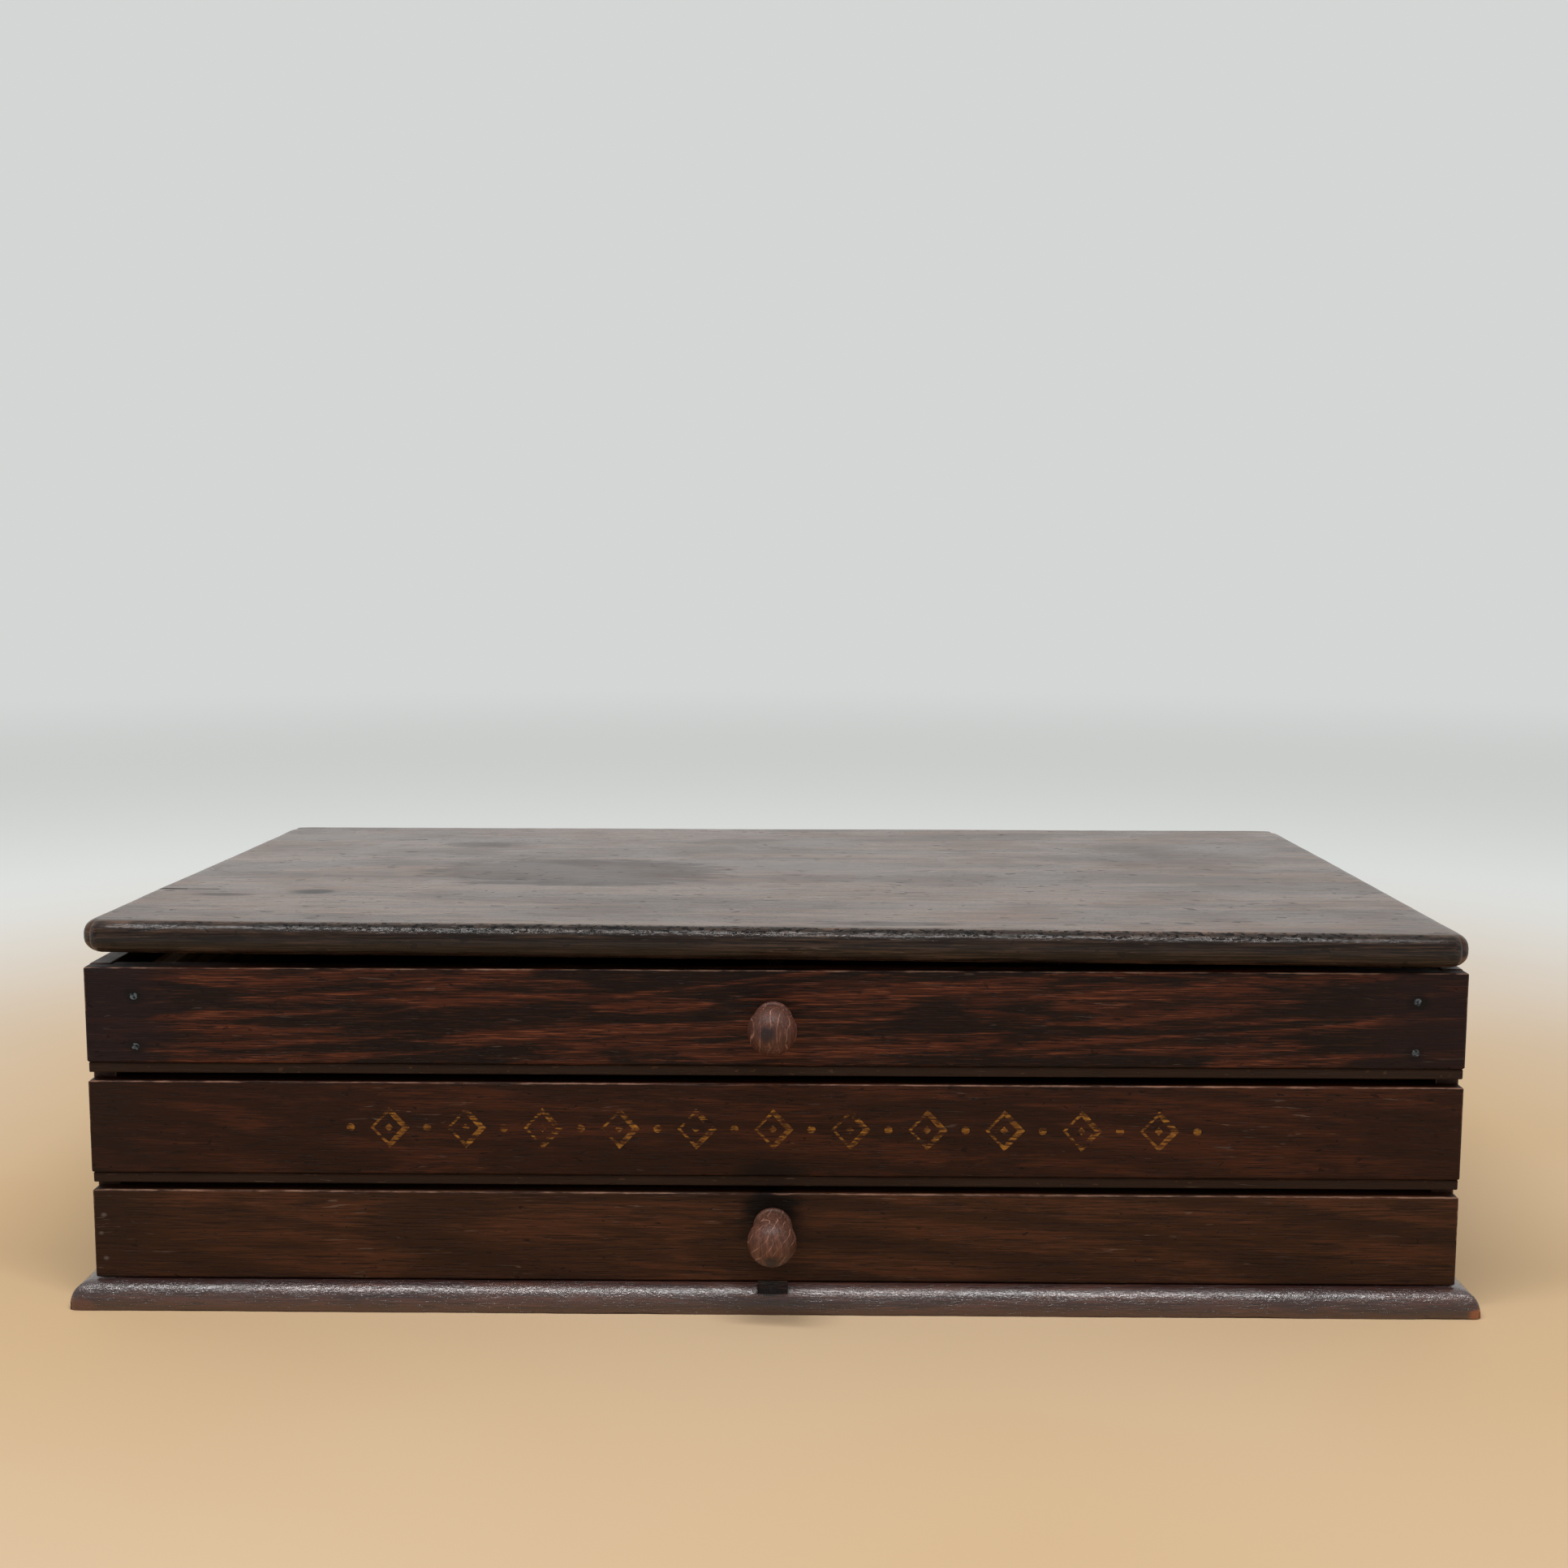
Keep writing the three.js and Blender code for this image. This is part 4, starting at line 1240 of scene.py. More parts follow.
@dataclass
class FastenerKit:
    """Screws and nails, each kind made by one node tree and set out on points.

    Attributes:
        sides: Number of sides of a head.
        slot_width: Width of a screw's slot, in millimetres.
        seed: Turns each slot another way.
    """

    sides: int = 28
    slot_width: float = 0.55
    seed: int = SEED

    def tree(self) -> bpy.types.NodeTree:
        """Builds the tree that turns points into fasteners.

        Returns:
            The tree, with inputs for the sizes.
        """
        group = bpy.data.node_groups.new("fasteners_on_points", "GeometryNodeTree")
        face = group.interface
        face.new_socket("Points", in_out="INPUT", socket_type="NodeSocketGeometry")
        for name in ("Head Radius", "Head Height", "Shank Radius", "Length", "Slot Width", "Slot Depth"):
            face.new_socket(name, in_out="INPUT", socket_type="NodeSocketFloat")
        face.new_socket("Aim", in_out="INPUT", socket_type="NodeSocketVector")
        face.new_socket("Seed", in_out="INPUT", socket_type="NodeSocketInt")
        face.new_socket("Finish", in_out="INPUT", socket_type="NodeSocketMaterial")
        face.new_socket("Fasteners", in_out="OUTPUT", socket_type="NodeSocketGeometry")
        given = group.nodes.new("NodeGroupInput").outputs
        head = add_node(
            group, "GeometryNodeMeshCone", values={"Vertices": self.sides},
            links={
                "Radius Bottom": given["Head Radius"], "Radius Top": given["Shank Radius"],
                "Depth": given["Head Height"],
            },
        )
        shank = add_node(
            group, "GeometryNodeMeshCone", values={"Vertices": self.sides},
            links={"Radius Bottom": given["Shank Radius"], "Depth": given["Length"]},
        )
        shank.inputs["Radius Top"].default_value = 0.1 * MM
        joined = add_node(group, "GeometryNodeMeshBoolean", {"operation": "UNION", "solver": "EXACT"})
        for mesh in (head, shank):
            group.links.new(mesh.outputs["Mesh"], joined.inputs["Mesh 2"])
        times = {"operation": "MULTIPLY"}
        long = add_node(group, "ShaderNodeMath", times, {1: 3.0}, {0: given["Head Radius"]})
        deep = add_node(group, "ShaderNodeMath", times, {1: 2.0}, {0: given["Slot Depth"]})
        reach = add_node(
            group, "ShaderNodeCombineXYZ",
            links={"X": long.outputs[0], "Y": given["Slot Width"], "Z": deep.outputs[0]},
        )
        saw = add_node(group, "GeometryNodeMeshCube", links={"Size": reach.outputs[0]})
        slotted = add_node(
            group, "GeometryNodeMeshBoolean", {"operation": "DIFFERENCE", "solver": "EXACT"},
            links={"Mesh 1": joined.outputs["Mesh"], "Mesh 2": saw.outputs["Mesh"]},
        )
        spin = add_node(
            group, "FunctionNodeRandomValue", {"data_type": "FLOAT"}, {2: 0.0, 3: math.pi},
            {"Seed": given["Seed"]},
        )
        about = add_node(group, "ShaderNodeCombineXYZ", links={"Z": spin.outputs[1]})
        set_out = add_node(
            group, "GeometryNodeInstanceOnPoints",
            links={
                "Points": given["Points"], "Instance": slotted.outputs["Mesh"], "Rotation": given["Aim"],
            },
        )
        aimed = add_node(
            group, "GeometryNodeRotateInstances", {},
            {"Local Space": True}, {"Instances": set_out.outputs[0], "Rotation": about.outputs[0]},
        )
        real = add_node(group, "GeometryNodeRealizeInstances", links={0: aimed.outputs[0]})
        painted = add_node(
            group, "GeometryNodeSetMaterial",
            links={"Geometry": real.outputs[0], "Material": given["Finish"]},
        )
        add_node(group, "NodeGroupOutput", links={0: painted.outputs[0]})
        return group

    def make(
        self, name: str, heads: Sequence[Vector], aim: tuple[float, float, float], sizes: dict, body: str,
        nodes: Sequence[str], slot: str, finish: Finish,
    ) -> None:
        """Sets fasteners out on points and shows them as one piece.

        Args:
            name: The piece's name.
            heads: Middle of each head's face, in metres.
            aim: Rotation that points +Z from the head to the tip, in degrees.
            sizes: Head, shank and slot sizes in millimetres, by input name.
            body: The body that they move with.
            nodes: The frame nodes that they stand for.
            slot: The record's material slot; not used.
            finish: Their finish.
        """
        points = bpy.data.meshes.new(name)
        points.from_pydata([tuple(p) for p in heads], [], [])
        work = plain_object(name + "_work", points)
        modifier = work.modifiers.new("fasteners", "NODES")
        tree = bpy.data.node_groups.get("fasteners_on_points") or self.tree()
        modifier.node_group = tree
        values = {key: value * MM for key, value in sizes.items()}
        values["Slot Width"] = self.slot_width * MM if sizes["Slot Depth"] > 0.1 else 0.05 * MM
        values["Aim"] = tuple(math.radians(a) for a in aim)
        values["Seed"] = self.seed
        values["Finish"] = material_of(finish)
        for item in tree.interface.items_tree:
            if item.name in values:
                modifier[item.identifier] = values[item.name]
        mesh = evaluated_mesh(work)
        bpy.data.objects.remove(work)
        add_piece(name, mesh, body, nodes, finish)


@dataclass
class Lid:
    """The lid board: rounded over in front and at the ends, warped up at its front corners.

    Attributes:
        thickness: Thickness of the board, in millimetres.
        edge: Radius of the rounded edge.
        front_corner: Radius of the front corners in plan.
        back_corner: Radius of the back corners in plan.
        lift_left: How far the warp lifts the left front corner.
        lift_right: How far it lifts the right one.
        flat_strip: The stretch along the hinges that has stayed flat.
        pocket: Depth of the hinge pockets.
        crack_behind: Place of the crack at the left end, behind the fronts' face.
        crack: Its stretches: start and end from the left end, and width.
        dents: Number of dents in the top.
        dent_depth: Least and greatest depth of a dent.
    """

    thickness: float = 10.4
    edge: float = 4.3
    front_corner: float = 8.0
    back_corner: float = 9.0
    lift_left: float = 3.9
    lift_right: float = 0.9
    flat_strip: float = 24.0
    pocket: float = 1.3
    crack_behind: float = 63.2
    crack: tuple[tuple[float, float, float], ...] = ((-1.0, 13.0, 1.7), (13.3, 24.0, 0.8))
    dents: int = 46
    dent_depth: tuple[float, float] = (0.05, 0.3)

    def reshape(self, where: np.ndarray) -> np.ndarray:
        """Rounds the corners in plan, dents the top and warps the board.

        Args:
            where: The board's points, in millimetres.

        Returns:
            The moved points.
        """
        low, high = (np.array(corner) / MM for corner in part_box("lid_board"))
        out = rounded_plan(where, low, high, self.front_corner, self.back_corner)
        out = self.dented(out, low, high)
        reach = high[1] - self.flat_strip - low[1]
        forward = np.clip((high[1] - self.flat_strip - out[:, 1]) / reach, 0, 1)
        across = np.clip((out[:, 0] - low[0]) / (high[0] - low[0]), 0, 1)
        out[:, 2] += forward * (self.lift_left + (self.lift_right - self.lift_left) * across)
        return out

    def dented(self, where: np.ndarray, low: np.ndarray, high: np.ndarray) -> np.ndarray:
        """Presses shallow dents into the top and leaves it slightly uneven.

        Args:
            where: The board's points, in millimetres.
            low: Its lowest corner.
            high: Its highest corner.

        Returns:
            The moved points.
        """
        dice = np.random.default_rng(SEED)
        out = where.copy()
        top = where[:, 2] > low[2] + self.thickness * 0.5
        for _ in range(self.dents):
            centre = dice.uniform([low[0] + 8, low[1] + 6], [high[0] - 8, high[1] - 10])
            spread = dice.uniform([2.0, 1.2], [6.0, 2.6])
            depth = dice.uniform(*self.dent_depth)
            away = ((where[:, :2] - centre) / spread) ** 2
            out[:, 2] -= np.where(top, depth * np.exp(-away.sum(axis=1)), 0.0)
        swell = uneven(where * 0.35, SEED + 5)
        out[:, 2] -= np.where(top, 0.25 * swell, 0.0)
        return out

    def make(self) -> None:
        """Builds and dresses the lid board."""
        low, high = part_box("lid_board")
        box = (low.copy(), Vector((high.x, high.y, low.z + self.thickness * MM)))
        ease = ((self.edge, self.edge), (self.edge, 0.9), (self.edge, self.edge))
        board = Board(box, ease, step=2.4, wobble=0.35, seed=SEED)
        mesh = board.build("lid_board_mesh", self.reshape)
        pockets = []
        for side in ("left", "right"):
            leaf_low, leaf_high = grown(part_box(f"hinge_{side}_moving_leaf"), LEAF_ROOM)
            leaf_low.z = low.z - PAST
            leaf_high.z = low.z + self.pocket * MM
            pockets.append((leaf_low, leaf_high))
        for start, end, width in self.crack:
            behind = FACE + self.crack_behind
            pockets.append((
                Vector((low.x + start * MM, (behind - width / 2) * MM, low.z - PAST)),
                Vector((low.x + end * MM, (behind + width / 2) * MM, high.z + PAST)),
            ))
        mesh = carved(mesh, pockets)
        mark_arris(mesh, (low, high), 2.0)
        add_piece("lid_top_board", mesh, "lid", ["lid_board"], LID)


@dataclass
class Carcase:
    """The base board, the two sides and the back.

    Attributes:
        lip: Height of the square edge under the base moulding, in millimetres.
        overhang: Width of the moulding.
        groove: Depth of the runner grooves in the sides.
        run: Room above and below a drawer bottom in its groove.
        notch_width: Width of the thumb notch in the moulding.
        notch_depth: Its depth.
        notch_reach: How far it runs in behind the drawer fronts.
        shoulder: Flat left between the fronts' face and the moulding's curve.
        pocket: Depth of the hinge pockets in the back.
    """

    lip: float = 1.3
    overhang: float = 6.6
    groove: float = 3.6
    run: float = 0.4
    notch_width: float = 9.5
    notch_depth: float = 1.9
    notch_reach: float = 1.4
    shoulder: float = 0.8
    pocket: float = 1.3

    def moulded(self, where: np.ndarray) -> np.ndarray:
        """Drops the top of the base board to a quarter round on three sides, worn unevenly.

        Args:
            where: The board's points, in millimetres.

        Returns:
            The moved points.
        """
        low, high = (np.array(corner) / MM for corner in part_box("base_board"))
        inner = self.overhang - self.shoulder
        to_edge = np.minimum(
            np.minimum(where[:, 0] - low[0], high[0] - where[:, 0]), where[:, 1] - low[1]
        )
        share = np.clip(1 - to_edge / inner, 0, 1)
        rise = high[2] - self.lip
        curve = self.lip + (rise * np.sqrt(np.maximum(1 - share**2, 0)))
        out = where.copy()
        out[:, 2] = where[:, 2] * np.where(to_edge < inner, curve, high[2]) / high[2]
        top = where[:, 2] > (low[2] + high[2]) / 2
        wear = uneven(where * np.array([1.0, 1.0, 0.1]), SEED + 9) * 0.4
        near = np.clip(1 - to_edge / 5.0, 0, 1)
        out[:, 1] += np.where(to_edge == where[:, 1] - low[1], wear * near, 0.0)
        side = np.where(where[:, 0] > 0, -1.0, 1.0)
        out[:, 0] += np.where(to_edge < where[:, 1] - low[1], side * wear * near, 0.0)
        out[:, 2] -= np.where(top & (share > 0.05), 0.22 * uneven(where * 2.2, SEED + 10) * share, 0.0)
        rim = np.clip(1 - to_edge / 1.6, 0, 1) * np.clip(1 - where[:, 2] / high[2], 0, 1)
        out[:, 2] += rim * 0.55 * uneven(where * np.array([0.8, 0.8, 0.0]), SEED + 12)
        return rounded_plan(out, low, high, 2.6, 0.0)

    def base(self) -> None:
        """Builds and dresses the base board."""
        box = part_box("base_board")
        inner = self.overhang - self.shoulder
        shares = (0, 0.02, 0.06, 0.12, 0.2, 0.3, 0.42, 0.56, 0.74, 1.0)
        ease = ((inner, inner), (inner, 0.6), (0.35, 0.35))
        board = Board(box, ease, step=2.0, shares=shares, square=True)
        mesh = board.build("base_board_mesh", self.moulded)
        low, high = box
        front = low.y
        inmost = front + (self.overhang + self.notch_reach) * MM
        notch = (
            Vector((-self.notch_width / 2 * MM, front - PAST, high.z - self.notch_depth * MM)),
            Vector((self.notch_width / 2 * MM, inmost, high.z + PAST)),
        )
        mesh = carved(mesh, [notch])
        mark_arris(mesh, box, 0.9)
        add_piece("base_moulded_board", mesh, "carcase", ["base_board"], BASE)

    def sides(self) -> None:
        """Builds and dresses the two sides with their runner grooves."""
        for name, sign in (("left", -1), ("right", 1)):
            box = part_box(f"{name}_side")
            ease = ((0.6, 0.6), (0.5, 0.8), (0.5, 0.9))
            board = Board(box, ease, step=3.5, wobble=0.3, seed=SEED + sign)
            mesh = board.build(f"{name}_side_mesh")
            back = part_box("back_panel")[0].y - PAST
            grooves = []
            for drawer in ("middle_drawer", "top_drawer"):
                low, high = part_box(f"{drawer}_bottom")
                inner = box[1].x if sign < 0 else box[0].x
                deep = inner + sign * self.groove * MM
                over = inner - sign * PAST
                grooves.append((
                    Vector((min(deep, over), box[0].y - PAST, low.z - self.run * MM)),
                    Vector((max(deep, over), back, high.z + self.run * MM)),
                ))
            mesh = carved(mesh, grooves)
            mark_arris(mesh, box, 0.8)
            add_piece(f"{name}_side_board", mesh, "carcase", [f"{name}_side"], CARCASE)

    def back(self) -> None:
        """Builds and dresses the back with its hinge pockets."""
        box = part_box("back_panel")
        ease = ((0.4, 0.4), (0.4, 0.6), (0.4, 0.5))
        mesh = Board(box, ease, step=3.5, wobble=0.2, seed=SEED + 3).build("back_mesh")
        pockets = []
        for side in ("left", "right"):
            low, high = grown(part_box(f"hinge_{side}_fixed_leaf"), LEAF_ROOM)
            top = box[1].z
            pockets.append((
                Vector((low.x, low.y, top - self.pocket * MM)),
                Vector((high.x, high.y, top + PAST)),
            ))
        mesh = carved(mesh, pockets)
        mark_arris(mesh, box, 0.8)
        add_piece("back_board", mesh, "carcase", ["back_panel"], BACK)

    def make(self, kit: FastenerKit) -> None:
        """Builds the whole carcase.

        Args:
            kit: Makes the screws under the base.
        """
        self.base()
        self.sides()
        self.back()
        names = [f"base_screw_{side}_{row}" for side in ("left", "right") for row in ("front", "rear")]
        heads = [head_of(name, "down") for name in names]
        sizes = {
            "Head Radius": 3.2, "Head Height": 2.2, "Shank Radius": 1.5, "Length": 21.5,
            "Slot Depth": 0.8,
        }
        kit.make("base_screws", heads, (0, 0, 0), sizes, "carcase", names, "steel", STEEL)


def head_of(node: str, face: str) -> Vector:
    """Returns the middle of a fastener's head.

    Args:
        node: The fastener's frame node.
        face: Side on which its head lies: down, up, front or back.

    Returns:
        The place, in metres.
    """
    low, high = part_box(node)
    middle = (low + high) / 2
    ends = {"down": ("z", low.z), "up": ("z", high.z), "front": ("y", low.y), "back": ("y", high.y)}
    axis, value = ends[face]
    setattr(middle, axis, value)
    return middle


@dataclass
class Hinges:
    """Two butt hinges with three knuckles each, and their screws.

    Attributes:
        head: Radius of a screw's head, in millimetres.
        shank: Radius of its shank.
        length: Its length.
        pin_ease: Width of the eased edge at the ends of a pin.
    """

    head: float = 1.65
    shank: float = 0.8
    length: float = 6.4
    pin_ease: float = 0.15

    def make(self, kit: FastenerKit) -> None:
        """Builds both hinges.

        Args:
            kit: Makes the screws.
        """
        for side in ("left", "right"):
            for leaf, body in (("fixed", "carcase"), ("moving", "lid")):
                node = f"hinge_{side}_{leaf}_leaf"
                add_piece(f"{node}_plate", dressed_copy(node), body, [node], BRASS)
            pin = f"hinge_{side}_pin"
            add_piece(f"{pin}_rod", dressed_copy(pin, self.pin_ease), "carcase", [pin], BRASS)
        sizes = {
            "Head Radius": self.head, "Head Height": 0.9, "Shank Radius": self.shank,
            "Length": self.length, "Slot Depth": 0.35,
        }
        rows = (("fixed", "carcase", "up", (180, 0, 0)), ("moving", "lid", "down", (0, 0, 0)))
        for leaf, body, face, aim in rows:
            names = [f"hinge_{side}_{leaf}_screw_{i}" for side in ("left", "right") for i in (1, 2)]
            heads = [head_of(name, face) for name in names]
            kit.make(f"hinge_{leaf}_screws", heads, aim, sizes, body, names, "brass", BRASS)


@dataclass
class Knob:
    """A turned knob: a bead-shaped collar, a narrow neck and a ball.

    Attributes:
        drawer: The drawer that it sits on.
        finish: Its finish.
        ball: Radius of the ball, in millimetres.
        collar: Radius of the collar.
        neck: Radius of the neck.
        out: Distance from the drawer front to the ball's middle.
        bead: Radius of the collar's rounded rim.
        bead_out: Distance from the drawer front to that rim's middle.
        flattened: The ball's length along its axis, as a share of its width.
        sides: Number of sides that it is turned with.
    """

    drawer: str
    finish: WoodFinish
    ball: float = 7.6
    collar: float = 6.2
    neck: float = 5.0
    out: float = 14.2
    bead: float = 1.2
    bead_out: float = 1.35
    flattened: float = 0.985
    sides: int = 72

    def profile(self) -> list[tuple[float, float]]:
        """Returns the outline from the back of the collar to the front of the ball.

        Returns:
            Radius and distance in front of the drawer front, in millimetres, for each point.
        """
        points = [(0.0, 0.0), (self.collar - 1.0, 0.0)]
        for i in range(9):
            angle = -math.pi / 2 + math.pi * i / 8
            points.append((
                self.collar - self.bead + self.bead * math.cos(angle),
                self.bead_out + self.bead * math.sin(angle),
            ))
        points.append((self.neck - 0.15, 2.85))
        points.append((self.neck - 0.2, 3.2))
        start = -math.acos(self.neck / self.ball)
        for i in range(33):
            angle = start + (math.pi / 2 - start) * i / 32
            radius = self.ball * math.cos(angle)
            out = self.out + self.ball * math.sin(angle) * self.flattened
            points.append((radius if i < 32 else 0.0, out))
        return points

    def make(self, kit: FastenerKit) -> None:
        """Builds and dresses the knob and its screw.

        Args:
            kit: Makes the screw.
        """
        node = f"{self.drawer}_knob"
        low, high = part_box(node)
        origin = Vector(((low.x + high.x) / 2, high.y, (low.z + high.z) / 2))
        mesh = turned_mesh(node + "_mesh", self.profile(), self.sides, origin)
        worn_knob(mesh, origin, self.ball)
        mark_arris(mesh, (low, high), 0.5)
        add_piece(f"{node}_turned", mesh, self.drawer, [node], self.finish)
        sizes = {
            "Head Radius": 3.0, "Head Height": 1.6, "Shank Radius": 1.5, "Length": 16.4,
            "Slot Depth": 0.7,
        }
        screw = f"{self.drawer}_knob_screw"
        heads = [head_of(screw, "back")]
        kit.make(f"{screw}_set", heads, (90, 0, 0), sizes, self.drawer, [screw], "steel", STEEL)


def worn_knob(
    mesh: bpy.types.Mesh, origin: Vector, radius_mm: float, share: float = 0.022, fineness: float = 4.0
) -> None:
    """Wears a turned knob slightly out of round.

    Args:
        mesh: The knob's mesh, changed in place.
        origin: Middle of its back, in metres.
        radius_mm: Radius of its ball.
        share: Greatest wear, as a share of the radius.
        fineness: How many times closer together the worn places lie than on a board.
    """
    flat = np.empty(len(mesh.vertices) * 3)
    mesh.vertices.foreach_get("co", flat)
    where = flat.reshape(-1, 3) / MM
    axis = np.array([origin.x, 0.0, origin.z]) / MM
    radial = (where - axis) * np.array([1.0, 0.0, 1.0])
    wear = 1 - share * uneven(where * fineness, SEED + int(radius_mm))
    moved = where * np.array([0.0, 1.0, 0.0]) + axis + radial * wear[:, None]
    mesh.vertices.foreach_set("co", (moved * MM).ravel())
    mesh.update()


@dataclass
class Drawer:
    """One drawer: front, bottom, sides, back and partitions.

    Attributes:
        name: The drawer's body.
        front: Finish of its front.
        partitions: Number of partitions.
        lip: Thickness of the lip that laps over the carcase side, in millimetres.
        nails: Whether nail heads show near the ends of the front.
        housed: Whether its bottom is let into its sides and front.
        play: Room round a housed bottom, in millimetres.
        run_out: How far the groove for it runs on at the back.
        gap: Room between the rebated ends and the carcase sides.
        runner: How far an upper bottom reaches into the grooves of the carcase sides.
        nail_proud: How far the nail heads stand out of the front.
    """

    name: str
    front: WoodFinish
    partitions: int = 3
    lip: float = 4.5
    nails: bool = False
    housed: bool = False
    play: float = 0.3
    run_out: float = 3.0
    gap: float = 0.4
    runner: float = 3.2
    nail_proud: float = 0.18

    def housing_cut(self) -> list[Box]:
        """Returns the groove for a housed bottom, or nothing.

        Returns:
            One box to cut away, or none.
        """
        if not self.housed:
            return []
        low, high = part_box(f"{self.name}_bottom")
        margin = mm(self.play, self.play, self.play)
        return [(low - margin, high + margin + mm(0, self.run_out, 0))]

    def front_board(self) -> None:
        """Builds and dresses the front with its rebated ends."""
        node = f"{self.name}_front"
        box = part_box(node)
        low, high = box
        seed = SEED + len(self.name)
        ease = ((0.7, 0.7), (0.55, 0.4), (0.5, 0.6))
        mesh = Board(box, ease, step=1.6, wobble=0.34, seed=seed).build(node + "_mesh")
        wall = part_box("right_side")[0].x - self.gap * MM
        cuts = self.housing_cut()
        for sign in (-1, 1):
            edges = sorted((sign * wall, sign * (high.x + PAST)))
            cuts.append((
                Vector((edges[0], low.y + self.lip * MM, low.z - PAST)),
                Vector((edges[1], high.y + PAST, high.z + PAST)),
            ))
        mesh = carved(mesh, cuts)
        mark_arris(mesh, box, 0.9)
        add_piece(f"{node}_board", mesh, self.name, [node], self.front)

    def bottom_board(self) -> None:
        """Builds and dresses the bottom; an upper one narrows behind the front to run in grooves."""
        node = f"{self.name}_bottom"
        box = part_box(node)
        ease = ((0.35, 0.35), (0.4, 0.4), (0.35, 0.35))
        mesh = Board(box, ease, step=3.0, wobble=0.2, seed=SEED + 17).build(node + "_mesh")
        cuts = []
        if not self.housed:
            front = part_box(f"{self.name}_front")[0].y + self.lip * MM
            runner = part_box("right_side")[0].x + self.runner * MM
            for sign in (-1, 1):
                edges = sorted((sign * runner, sign * (box[1].x + PAST)))
                cuts.append((
                    Vector((edges[0], front, box[0].z - PAST)),
                    Vector((edges[1], box[1].y + PAST, box[1].z + PAST)),
                ))
        mesh = carved(mesh, cuts)
        mark_arris(mesh, box, 0.6)
        add_piece(f"{node}_board", mesh, self.name, [node], BOTTOM_BOARD)

    def lining(self) -> None:
        """Builds and dresses the sides, the back and the partitions."""
        rows = [(f"{self.name}_side_{side}", LINING, self.housing_cut()) for side in ("left", "right")]
        rows.append((f"{self.name}_back", LINING_ACROSS, []))
        rows += [(f"{self.name}_divider_{i + 1}", LINING, []) for i in range(self.partitions)]
        for index, (node, finish, cuts) in enumerate(rows):
            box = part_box(node)
            board = Board(box, ((0.4, 0.4),) * 3, step=6.0, wobble=0.15, seed=SEED + index)
            mesh = carved(board.build(node + "_mesh"), cuts)
            mark_arris(mesh, box, 0.8)
            add_piece(f"{node}_board", mesh, self.name, [node], finish)

    def make(self, kit: FastenerKit) -> None:
        """Builds the whole drawer.

        Args:
            kit: Makes the nails.
        """
        self.front_board()
        self.bottom_board()
        self.lining()
        if self.nails:
            names = [f"front_nail_{side}_{row}" for side in ("left", "right") for row in ("lower", "upper")]
            heads = [head_of(name, "front") for name in names]
            sizes = {
                "Head Radius": 1.15, "Head Height": 0.6, "Shank Radius": 0.7, "Length": 20.5,
                "Slot Depth": 0.05,
            }
            heads = [place + mm(0, -self.nail_proud, 0) for place in heads]
            kit.make("front_nails", heads, (-90, 0, 0), sizes, self.name, names, "steel", NAIL)


# ---- studio -------------------------------------------------------------------------------


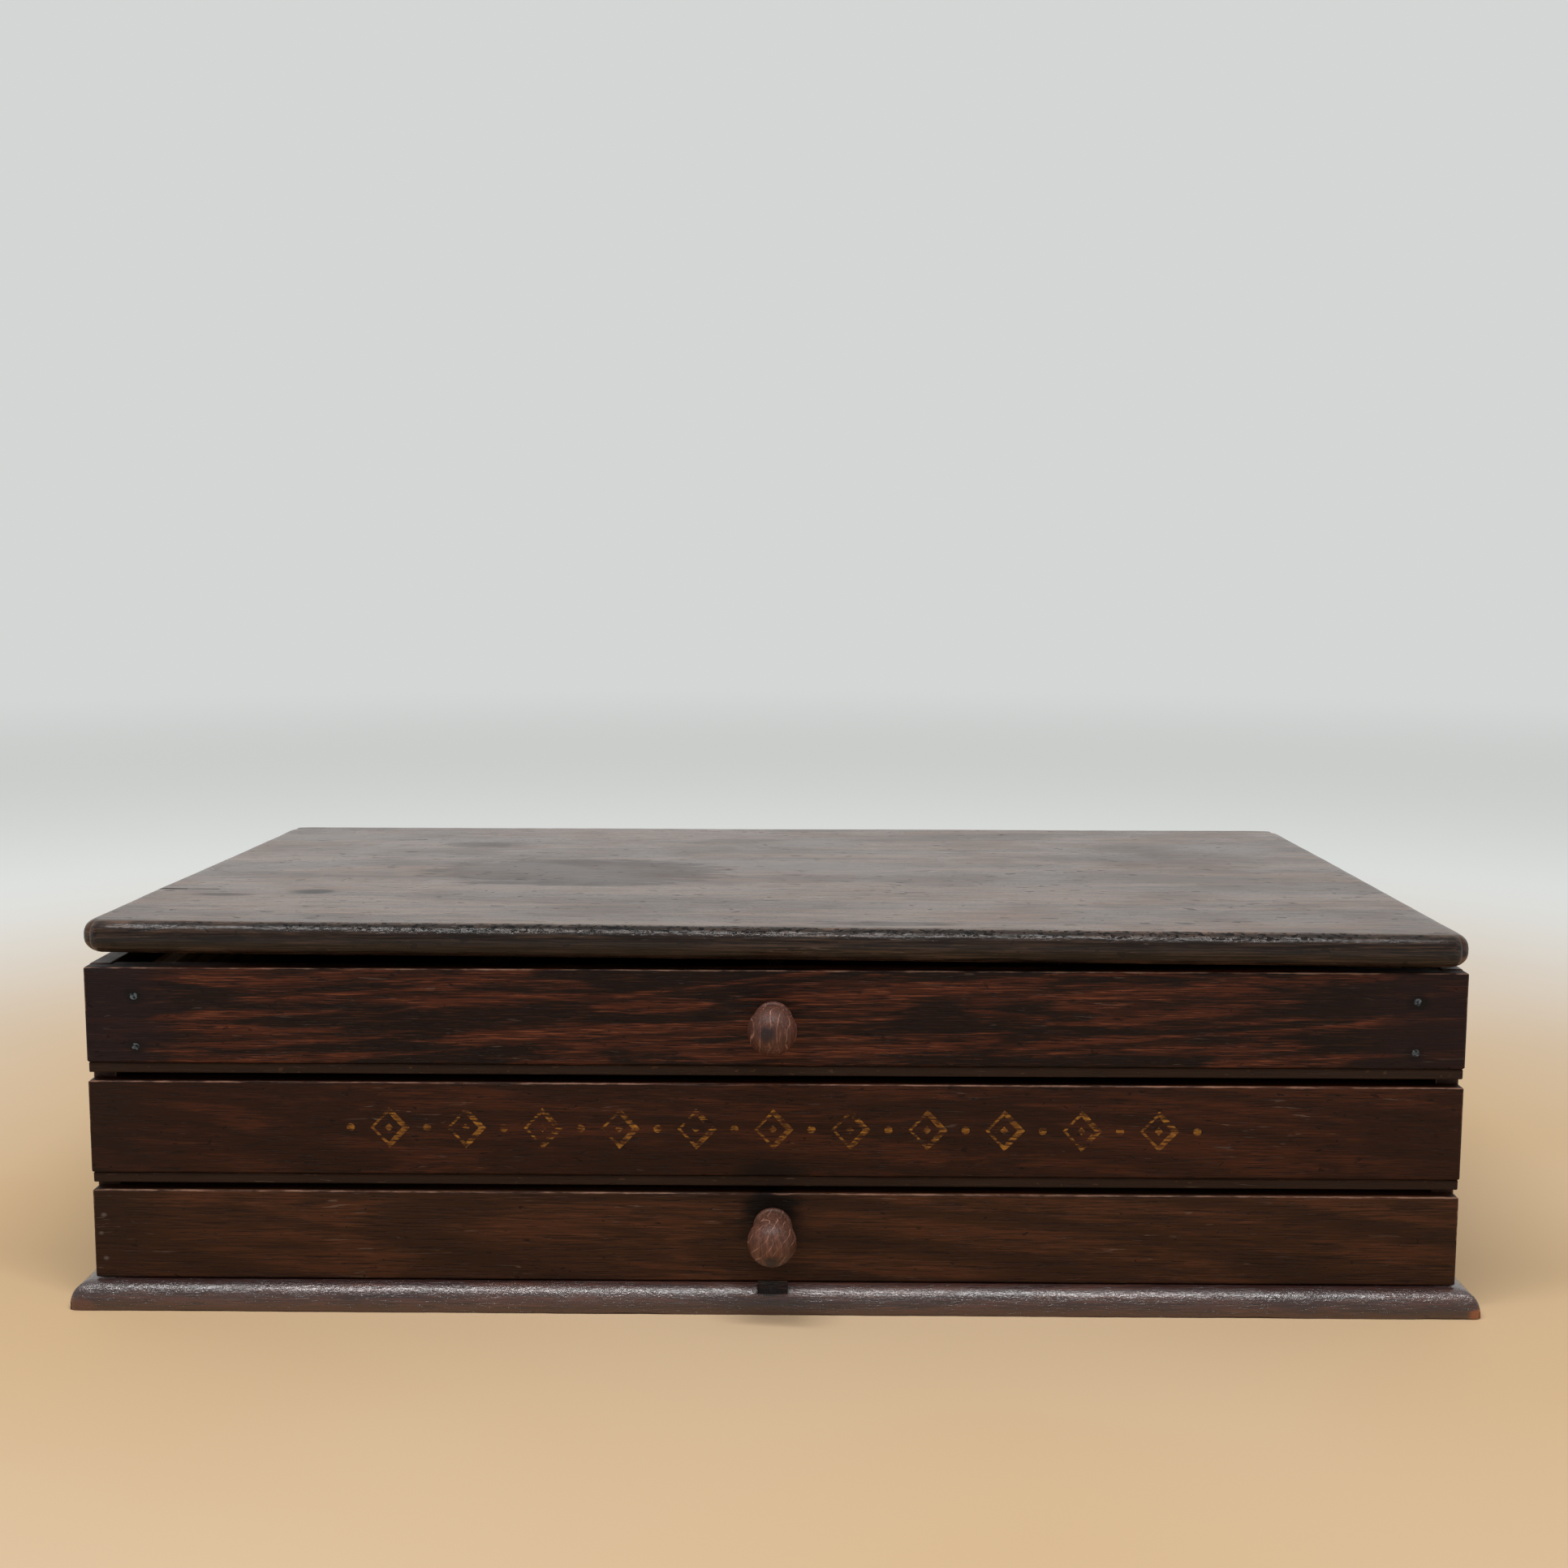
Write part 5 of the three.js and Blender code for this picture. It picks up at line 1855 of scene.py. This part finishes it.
@dataclass
class Studio:
    """Pale floor, soft light and the camera.

    Attributes:
        eye: The camera's place, in millimetres: X, distance behind the fronts' face, and Z.
        pitch: Degrees that it looks down.
        heading: Degrees that it looks to the left.
        roll: Degrees that it leans.
        focal: Focal length for a sensor 36 mm wide.
        floor: Colour of the floor near the cabinet.
        far_floor: Colour that it fades to, close to the air's.
        air: Colour of the light from the pale wall side.
        room: Colour of the light from the open room in front.
        air_strength: Strength of that light.
        floor_radius: Radius of the floor, in metres.
        floor_sides: Number of its sides.
        lamp_place: Place of the strip lamp overhead, in metres.
        lamp_aim: The point that it faces.
        lamp_size: Its width and height.
        lamp_power: Its power, in watts.
    """

    eye: tuple[float, float, float] = (9.5, -551.9, 231.2)
    pitch: float = 6.73
    heading: float = 0.653
    roll: float = 0.126
    focal: float = 41.87
    floor: str = "#c5a883"
    far_floor: str = "#e9ebea"
    air: str = "#d4d6d5"
    room: str = "#aea7a1"
    air_strength: float = 1.0
    floor_radius: float = 20
    floor_sides: int = 64
    lamp_place: tuple[float, float, float] = (-0.05, -0.5, 1.4)
    lamp_aim: tuple[float, float, float] = (0, -0.1, 0.05)
    lamp_size: tuple[float, float] = (1.5, 0.13)
    lamp_power: float = 17.0

    def camera(self) -> None:
        """Places the camera."""
        data = bpy.data.cameras.new("camera")
        data.lens = self.focal
        data.sensor_width = 36.0
        data.clip_start = 0.01
        data.clip_end = 50.0
        made = bpy.data.objects.new("camera", data)
        bpy.context.scene.collection.objects.link(made)
        turn = (
            Matrix.Rotation(math.radians(self.heading), 4, "Z")
            @ Matrix.Rotation(math.radians(90 - self.pitch), 4, "X")
            @ Matrix.Rotation(math.radians(self.roll), 4, "Z")
        )
        x, behind, z = self.eye
        made.matrix_world = Matrix.Translation(mm(x, FACE + behind, z)) @ turn
        bpy.context.scene.camera = made

    def ground(self) -> None:
        """Lays a large pale floor."""
        mesh = bpy.data.meshes.new("floor")
        radius, sides = self.floor_radius, self.floor_sides
        turns = np.linspace(0, 2 * math.pi, sides, endpoint=False)
        rim = [(radius * math.cos(a), radius * math.sin(a), 0.0) for a in turns]
        mesh.from_pydata(rim, [], [list(range(sides))])
        floor = plain_object("floor", mesh)
        # Matt paint: no gloss, and far out it fades into the air's light, so that no horizon shows.
        shade = Shade("floor_matt_paint")
        length = shade.add("ShaderNodeVectorMath", {"operation": "LENGTH"}, links={0: shade.place})
        away = length.outputs["Value"]
        cloud = shade.noise((300.0, 300.0, 300.0), 3.0, 2.0)
        near = shade.mix(shade.ramp(cloud, 0.3, 0.7, 0.0, 0.06), self.floor, "#ffffff")
        colour = shade.mix(shade.ramp(away, 0.25, 0.9), near, self.far_floor)
        lost = shade.ramp(away, 0.9, 3.0)
        shade.shader.inputs["Roughness"].default_value = 0.7
        shade.shader.inputs["Specular IOR Level"].default_value = 0.0
        shade.shader.inputs["Emission Color"].default_value = linear(self.air)
        shade.tree.links.new(lost, shade.shader.inputs["Emission Strength"])
        shade.tree.links.new(shade.mix(lost, colour, "#000000"), shade.shader.inputs["Base Color"])
        mesh.materials.append(shade.material)

    def lamp(self, name: str) -> None:
        """Hangs one soft rectangular light.

        Args:
            name: The light's name.
        """
        data = bpy.data.lights.new(name, "AREA")
        data.shape = "RECTANGLE"
        data.size, data.size_y = self.lamp_size
        data.energy = self.lamp_power
        made = bpy.data.objects.new(name, data)
        bpy.context.scene.collection.objects.link(made)
        made.location = self.lamp_place
        made.rotation_mode = "QUATERNION"
        away = Vector(self.lamp_place) - Vector(self.lamp_aim)
        made.rotation_quaternion = away.to_track_quat("Z", "Y")

    def light(self) -> None:
        """Sets the soft light all round and the strip lamp overhead."""
        world = bpy.data.worlds.new("air")
        bpy.context.scene.world = world
        world.use_nodes = True
        tree = world.node_tree
        sky = tree.nodes["Background"]
        toward = add_node(tree, "ShaderNodeTexCoord").outputs["Generated"]
        facing = add_node(tree, "ShaderNodeSeparateXYZ", links={0: toward})
        share = add_node(
            tree, "ShaderNodeMapRange", {"interpolation_type": "SMOOTHSTEP"}, {1: -0.9, 2: 0.1},
            {0: facing.outputs[1]},
        )
        mixed = add_node(
            tree, "ShaderNodeMix", {"data_type": "RGBA"}, {6: linear(self.room), 7: linear(self.air)},
            {0: share.outputs[0]},
        )
        tree.links.new(mixed.outputs[2], sky.inputs["Color"])
        sky.inputs["Strength"].default_value = self.air_strength
        self.lamp("ceiling_strip")

    def make(self) -> None:
        """Builds the studio."""
        bpy.context.scene.view_settings.view_transform = "Standard"
        self.ground()
        self.light()
        self.camera()


def turned_knob(drawer: str, lean: float, spot: tuple[float, float, float], wood: str) -> Knob:
    """Returns a drawer's knob with its own finish.

    Args:
        drawer: The drawer that it sits on.
        lean: Turn of the grain about the knob's axis, in degrees.
        spot: Place of the dark spot from the middle of the knob's back, in millimetres.
        wood: Colour of the wood.

    Returns:
        The knob.
    """
    low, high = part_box(f"{drawer}_knob")
    centre = Vector(((low.x + high.x) / 2, high.y - Knob.out * MM, (low.z + high.z) / 2))
    place = (centre.x / MM + spot[0], high.y / MM + spot[1], centre.z / MM + spot[2])
    place = (place[0], place[1] - FACE, place[2])
    mark = StainAndShade(place, (3.2, 4.0, 3.6), "#1c181d", 0.8, 0.6)
    return Knob(drawer, knob_finish(f"{drawer}_knob_turned_bare", centre, lean, mark, wood, 60.0 + lean))


def main() -> None:
    """Builds the cabinet and the studio."""
    logging.basicConfig(level=logging.INFO, format="%(name)s %(message)s")
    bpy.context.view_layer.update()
    Studio().make()
    kit = FastenerKit()
    Carcase().make(kit)
    Lid().make()
    Hinges().make(kit)
    drawers = (
        Drawer("top_drawer", TOP_FRONT, nails=True),
        Drawer("middle_drawer", MIDDLE_FRONT),
        Drawer("bottom_drawer", BOTTOM_FRONT, housed=True),
    )
    for drawer in drawers:
        drawer.make(kit)
    turned_knob("top_drawer", 5.0, (-1.2, -21.0, 0.8), "#5a342a").make(kit)
    turned_knob("bottom_drawer", 38.0, (0.0, -20.0, -4.5), "#684336").make(kit)


if __name__ == "__main__":
    main()
